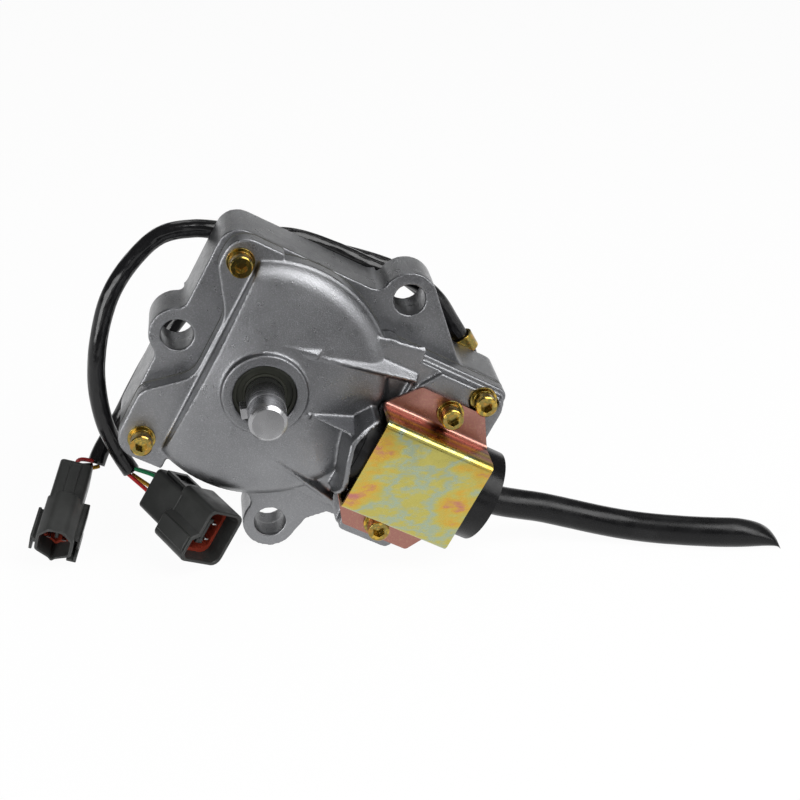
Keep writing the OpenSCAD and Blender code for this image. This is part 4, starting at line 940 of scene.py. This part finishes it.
class THROTTLE_OT_connectors(bpy.types.Operator):
    """Makes the two connectors with their seals, blades and wires, and dresses the boots"""
    bl_idname = "throttle.connectors"
    bl_label = "Connectors"

    def execute(self, context):
        wire = context.scene.throttle_leads.wire
        grey = plastic_finish("connector_grey", (0.028, 0.029, 0.028), 0.34)
        red = plastic_finish("connector_seal", (0.26, 0.035, 0.018), 0.45)
        tin = steel_finish("tinned_pins", (0.75, 0.75, 0.75), 0.22)
        vinyls = {key: plastic_finish("wire_" + key, tone, 0.3) for key, tone in WIRE_TONES.items()}
        for kind, plug, outline, parts, lead, order in CONNECTORS:
            connector_body(kind, plug, outline, parts, grey)
            connector_seal(kind, plug, outline, red)
            connector_pins(kind, plug, tin)
            connector_wires(kind, plug, lead, wire, [vinyls[key] for key in order])
        dress("cable_boots", plastic_finish("boot_rubber", (0.02, 0.02, 0.02), 0.55), 0.0003)
        return {"FINISHED"}


class THROTTLE_OT_leads(bpy.types.Operator):
    """Makes the two sleeved leads and the vent hose along their routes"""
    bl_idname = "throttle.leads"
    bl_label = "Leads and Hose"

    def execute(self, context):
        s = context.scene.throttle_leads
        vinyl = vinyl_finish(s.black)
        rubber = plastic_finish("hose_vinyl", s.black, 0.26)
        for kind, route in (("motor", MOTOR_LEAD), ("sensor", SENSOR_LEAD)):
            lead, line, length = tube_piece(kind + "_lead", route, s.lead, vinyl, kind + "_cable",
                                            wrinkle=0.05)
        hose, line, length = tube_piece("vent_pipe", HOSE, s.hose, rubber, "vent_hose", sides=32,
                                        mitre=HOSE_CUT)
        return {"FINISHED"}


class THROTTLE_OT_castings(bpy.types.Operator):
    """Makes the front cover with its hood and ribs, and dresses the rear housing and the gasket"""
    bl_idname = "throttle.castings"
    bl_label = "Castings"

    def execute(self, context):
        s = context.scene.throttle_casting
        skin = cast_finish(s)
        nose = rounded_outline(HOOD_NOSE)
        hood = carve(drive_slab("hood", nose, SHELF_S, HOOD_TOP_S, HOOD_WALL + HOOD_FOOT, HOOD_WALL), (
            ("UNION", drive_block("hood_side", *HOOD_SIDE)),
            ("INTERSECT", motor_disc("hood_round", HOOD_R, *HOOD_U)),
            ("DIFFERENCE", drive_slab("hood_hollow", nose, HOLLOW_S, TOP_S)),
            ("DIFFERENCE", drive_block("hood_mouth", *BEYOND_HOOD))))
        above_dome = cut(drive_block("above", *ABOVE_DOME), dome_solid("dome_a", 0.1))
        above_arm = cut(drive_block("arm", *ABOVE_ARM), dome_solid("dome_b", 0.1))
        cover = cut(merged_copy("front_cover", "cover"), above_dome, above_arm)
        shelf = carve(drive_block("shelf", *SHELF), (
            ("INTERSECT", dome_solid("dome_c", 0.05)),
            ("DIFFERENCE", drive_slab("shelf_hollow", nose, SHELF_S - 1, TOP_S)),
            ("DIFFERENCE", motor_disc("worm_way", WORM_WAY_R, *WORM_WAY_U))))
        ribs = [rib("rib", *values) for values in RIBS]
        bosses = [round_boss(*values) for values in COVER_BOSSES]
        cast_cover = joined("cast_cover", [cover, hood, shelf, *ribs, *bosses])
        stand_for(cast_form("cast_cover", cast_cover, s.voxel, skin), "front_cover")
        housing = merged_copy("rear_housing", "cast_housing")
        stand_for(cast_form("cast_housing", housing, s.voxel * 1.1, skin), "rear_housing")
        repaint("gasket", plastic_finish("gasket_sheet", (0.10, 0.10, 0.09), 0.7))
        return {"FINISHED"}


class THROTTLE_OT_plated(bpy.types.Operator):
    """Dresses the bracket, screws, washers and clip in yellow chromate"""
    bl_idname = "throttle.plated"
    bl_label = "Plated Pieces"

    def execute(self, context):
        s = context.scene.throttle_plating
        dress("motor_bracket", plated_finish(s, "plated_sheet", True), s.edge)
        small = plated_finish(s, "plated_screws")
        for node in ("cover_screws", "bracket_screws", "cable_clip", "clip_screw", "cover_spring_washers",
                     "bracket_spring_washers", "cover_flat_washers", "bracket_flat_washers"):
            dress(node, small, 0.00018)
        return {"FINISHED"}


class THROTTLE_OT_motor(bpy.types.Operator):
    """Trims the motor's sleeve, can and front bell to the hood, gives all three the sleeve's black vinyl,
    which on the can and the front bell is painted shade for the hood's dark hollow, and dresses its other
    pieces
    """
    bl_idname = "throttle.motor"
    bl_label = "Motor"

    def execute(self, context):
        sleeve = plastic_finish("sleeve_vinyl_and_painted_shade", context.scene.throttle_leads.black, 0.26)
        # The hood's hollow, a little narrower and 0.2 mm off its wall: the pieces are trimmed to it
        hollow = rounded_outline(HOOD_NOSE) * (1, 0.98) + (0.2, 0)
        # The can and the front bell take the sleeve's black vinyl as painted shade: their black stands for
        # the shade in the hood's hollow, where the bell's steel would show.
        for node in ("motor_sleeve", "motor_can", "motor_front_bell"):
            inside = drive_slab("inside", hollow, SHELF_S - 1, TOP_S + 1)
            outside = cut(drive_block("outside", *TRIM), inside)
            form = cut(merged_copy(node, "dressed_" + node), outside)
            form.name = "dressed_" + node
            obj = put(form, sleeve)
            smooth(form, 30)
            stand_for(obj, node)
        dress("motor_end_cap", plastic_finish("black_moulding", (0.02, 0.02, 0.021), 0.4), 0.0003)
        dark = steel_finish("dark_steel", (0.10, 0.10, 0.105), 0.4)
        bright = steel_finish("bright_steel", (0.55, 0.55, 0.56), 0.28)
        copper = steel_finish("windings", (0.45, 0.18, 0.07), 0.35)
        for node, finish in (("stator", dark), ("rotor", dark), ("coils", copper), ("worm_shaft", bright),
                             ("motor_front_bearing", bright), ("motor_rear_bearing", bright)):
            repaint(node, finish)
        return {"FINISHED"}


class THROTTLE_OT_drive(bpy.types.Operator):
    """Dresses the shaft, key, seal, bearings, gears and position sensor"""
    bl_idname = "throttle.drive"
    bl_label = "Shaft and Gears"

    def execute(self, context):
        ground = steel_finish("ground_shaft", (0.42, 0.42, 0.43), 0.26, turned=True)
        dress("output_shaft", ground, 0.00012)
        dress("shaft_key", ground, 0.0002)
        dress("dust_seal", plastic_finish("seal_rubber", (0.014, 0.015, 0.010), 0.5), 0.0002)
        bronze = steel_finish("gear_bronze", (0.45, 0.33, 0.14), 0.36)
        steel = steel_finish("bearing_steel", (0.5, 0.5, 0.51), 0.22)
        nylon = plastic_finish("gear_nylon", (0.62, 0.60, 0.52), 0.45)
        black = plastic_finish("sensor_case", (0.02, 0.02, 0.022), 0.45)
        for node, finish in (("compound_gear", bronze), ("output_gear", bronze), ("rear_bush", bronze),
                             ("gear_pin", steel), ("front_bearing_outer", steel),
                             ("front_bearing_inner", steel), ("front_bearing_balls", steel),
                             ("circlip", steel), ("sensor_screws", steel), ("sensor_gear", nylon),
                             ("sensor_body", black)):
            repaint(node, finish)
        return {"FINISHED"}


class THROTTLE_OT_studio(bpy.types.Operator):
    """Makes the wide white floor, the soft lamps and the card that darkens the metal's reflections"""
    bl_idname = "throttle.studio"
    bl_label = "Studio"

    def execute(self, context):
        s = context.scene.throttle_studio
        scene = context.scene
        scene.view_settings.view_transform = "Standard"
        studio_floor(s.floor)
        scene.world = bpy.data.worlds.new("studio_world")
        scene.world.use_nodes = True
        sky = scene.world.node_tree.nodes["Background"].inputs
        sky["Color"].default_value = (1, 1, 1, 1)
        sky["Strength"].default_value = WORLD_STRENGTH
        for name, (place, size, share) in LAMPS.items():
            studio_lamp(name, place, size, s.key * share)
        dark_card()
        return {"FINISHED"}


class VIEW3D_PT_throttle_motor(bpy.types.Panel):
    """Lists the pieces of the throttle motor and their settings"""
    bl_idname = "VIEW3D_PT_throttle_motor"
    bl_label = "Throttle Motor"
    bl_space_type = "VIEW_3D"
    bl_region_type = "UI"
    bl_category = "Throttle Motor"

    def draw(self, context):
        """Draws a button for each operator and a field for each setting."""
        for operator in OPERATORS:
            self.layout.operator(operator.bl_idname)
        for settings in SETTINGS:
            group = getattr(context.scene, settings)
            for key in group.__annotations__:
                self.layout.prop(group, key)


OPERATORS = (
    THROTTLE_OT_studio_camera,
    THROTTLE_OT_connectors,
    THROTTLE_OT_leads,
    THROTTLE_OT_castings,
    THROTTLE_OT_plated,
    THROTTLE_OT_motor,
    THROTTLE_OT_drive,
    THROTTLE_OT_studio,
)
SETTINGS = {
    "throttle_casting": CastingSettings,
    "throttle_plating": PlatingSettings,
    "throttle_leads": LeadSettings,
    "throttle_studio": StudioSettings,
}


def register():
    """Registers the settings, the operators and the panel."""
    for cls in (*SETTINGS.values(), *OPERATORS, VIEW3D_PT_throttle_motor):
        bpy.utils.register_class(cls)
    for name, cls in SETTINGS.items():
        setattr(bpy.types.Scene, name, PointerProperty(type=cls))


def unregister():
    """Takes away what register adds."""
    for name in SETTINGS:
        delattr(bpy.types.Scene, name)
    for cls in reversed((*SETTINGS.values(), *OPERATORS, VIEW3D_PT_throttle_motor)):
        bpy.utils.unregister_class(cls)


def main():
    """Makes the whole scene."""
    register()
    bpy.ops.throttle.studio_camera()
    bpy.ops.throttle.connectors()
    bpy.ops.throttle.leads()
    bpy.ops.throttle.castings()
    bpy.ops.throttle.plated()
    bpy.ops.throttle.motor()
    bpy.ops.throttle.drive()
    bpy.ops.throttle.studio()


if __name__ == "__main__":
    main()
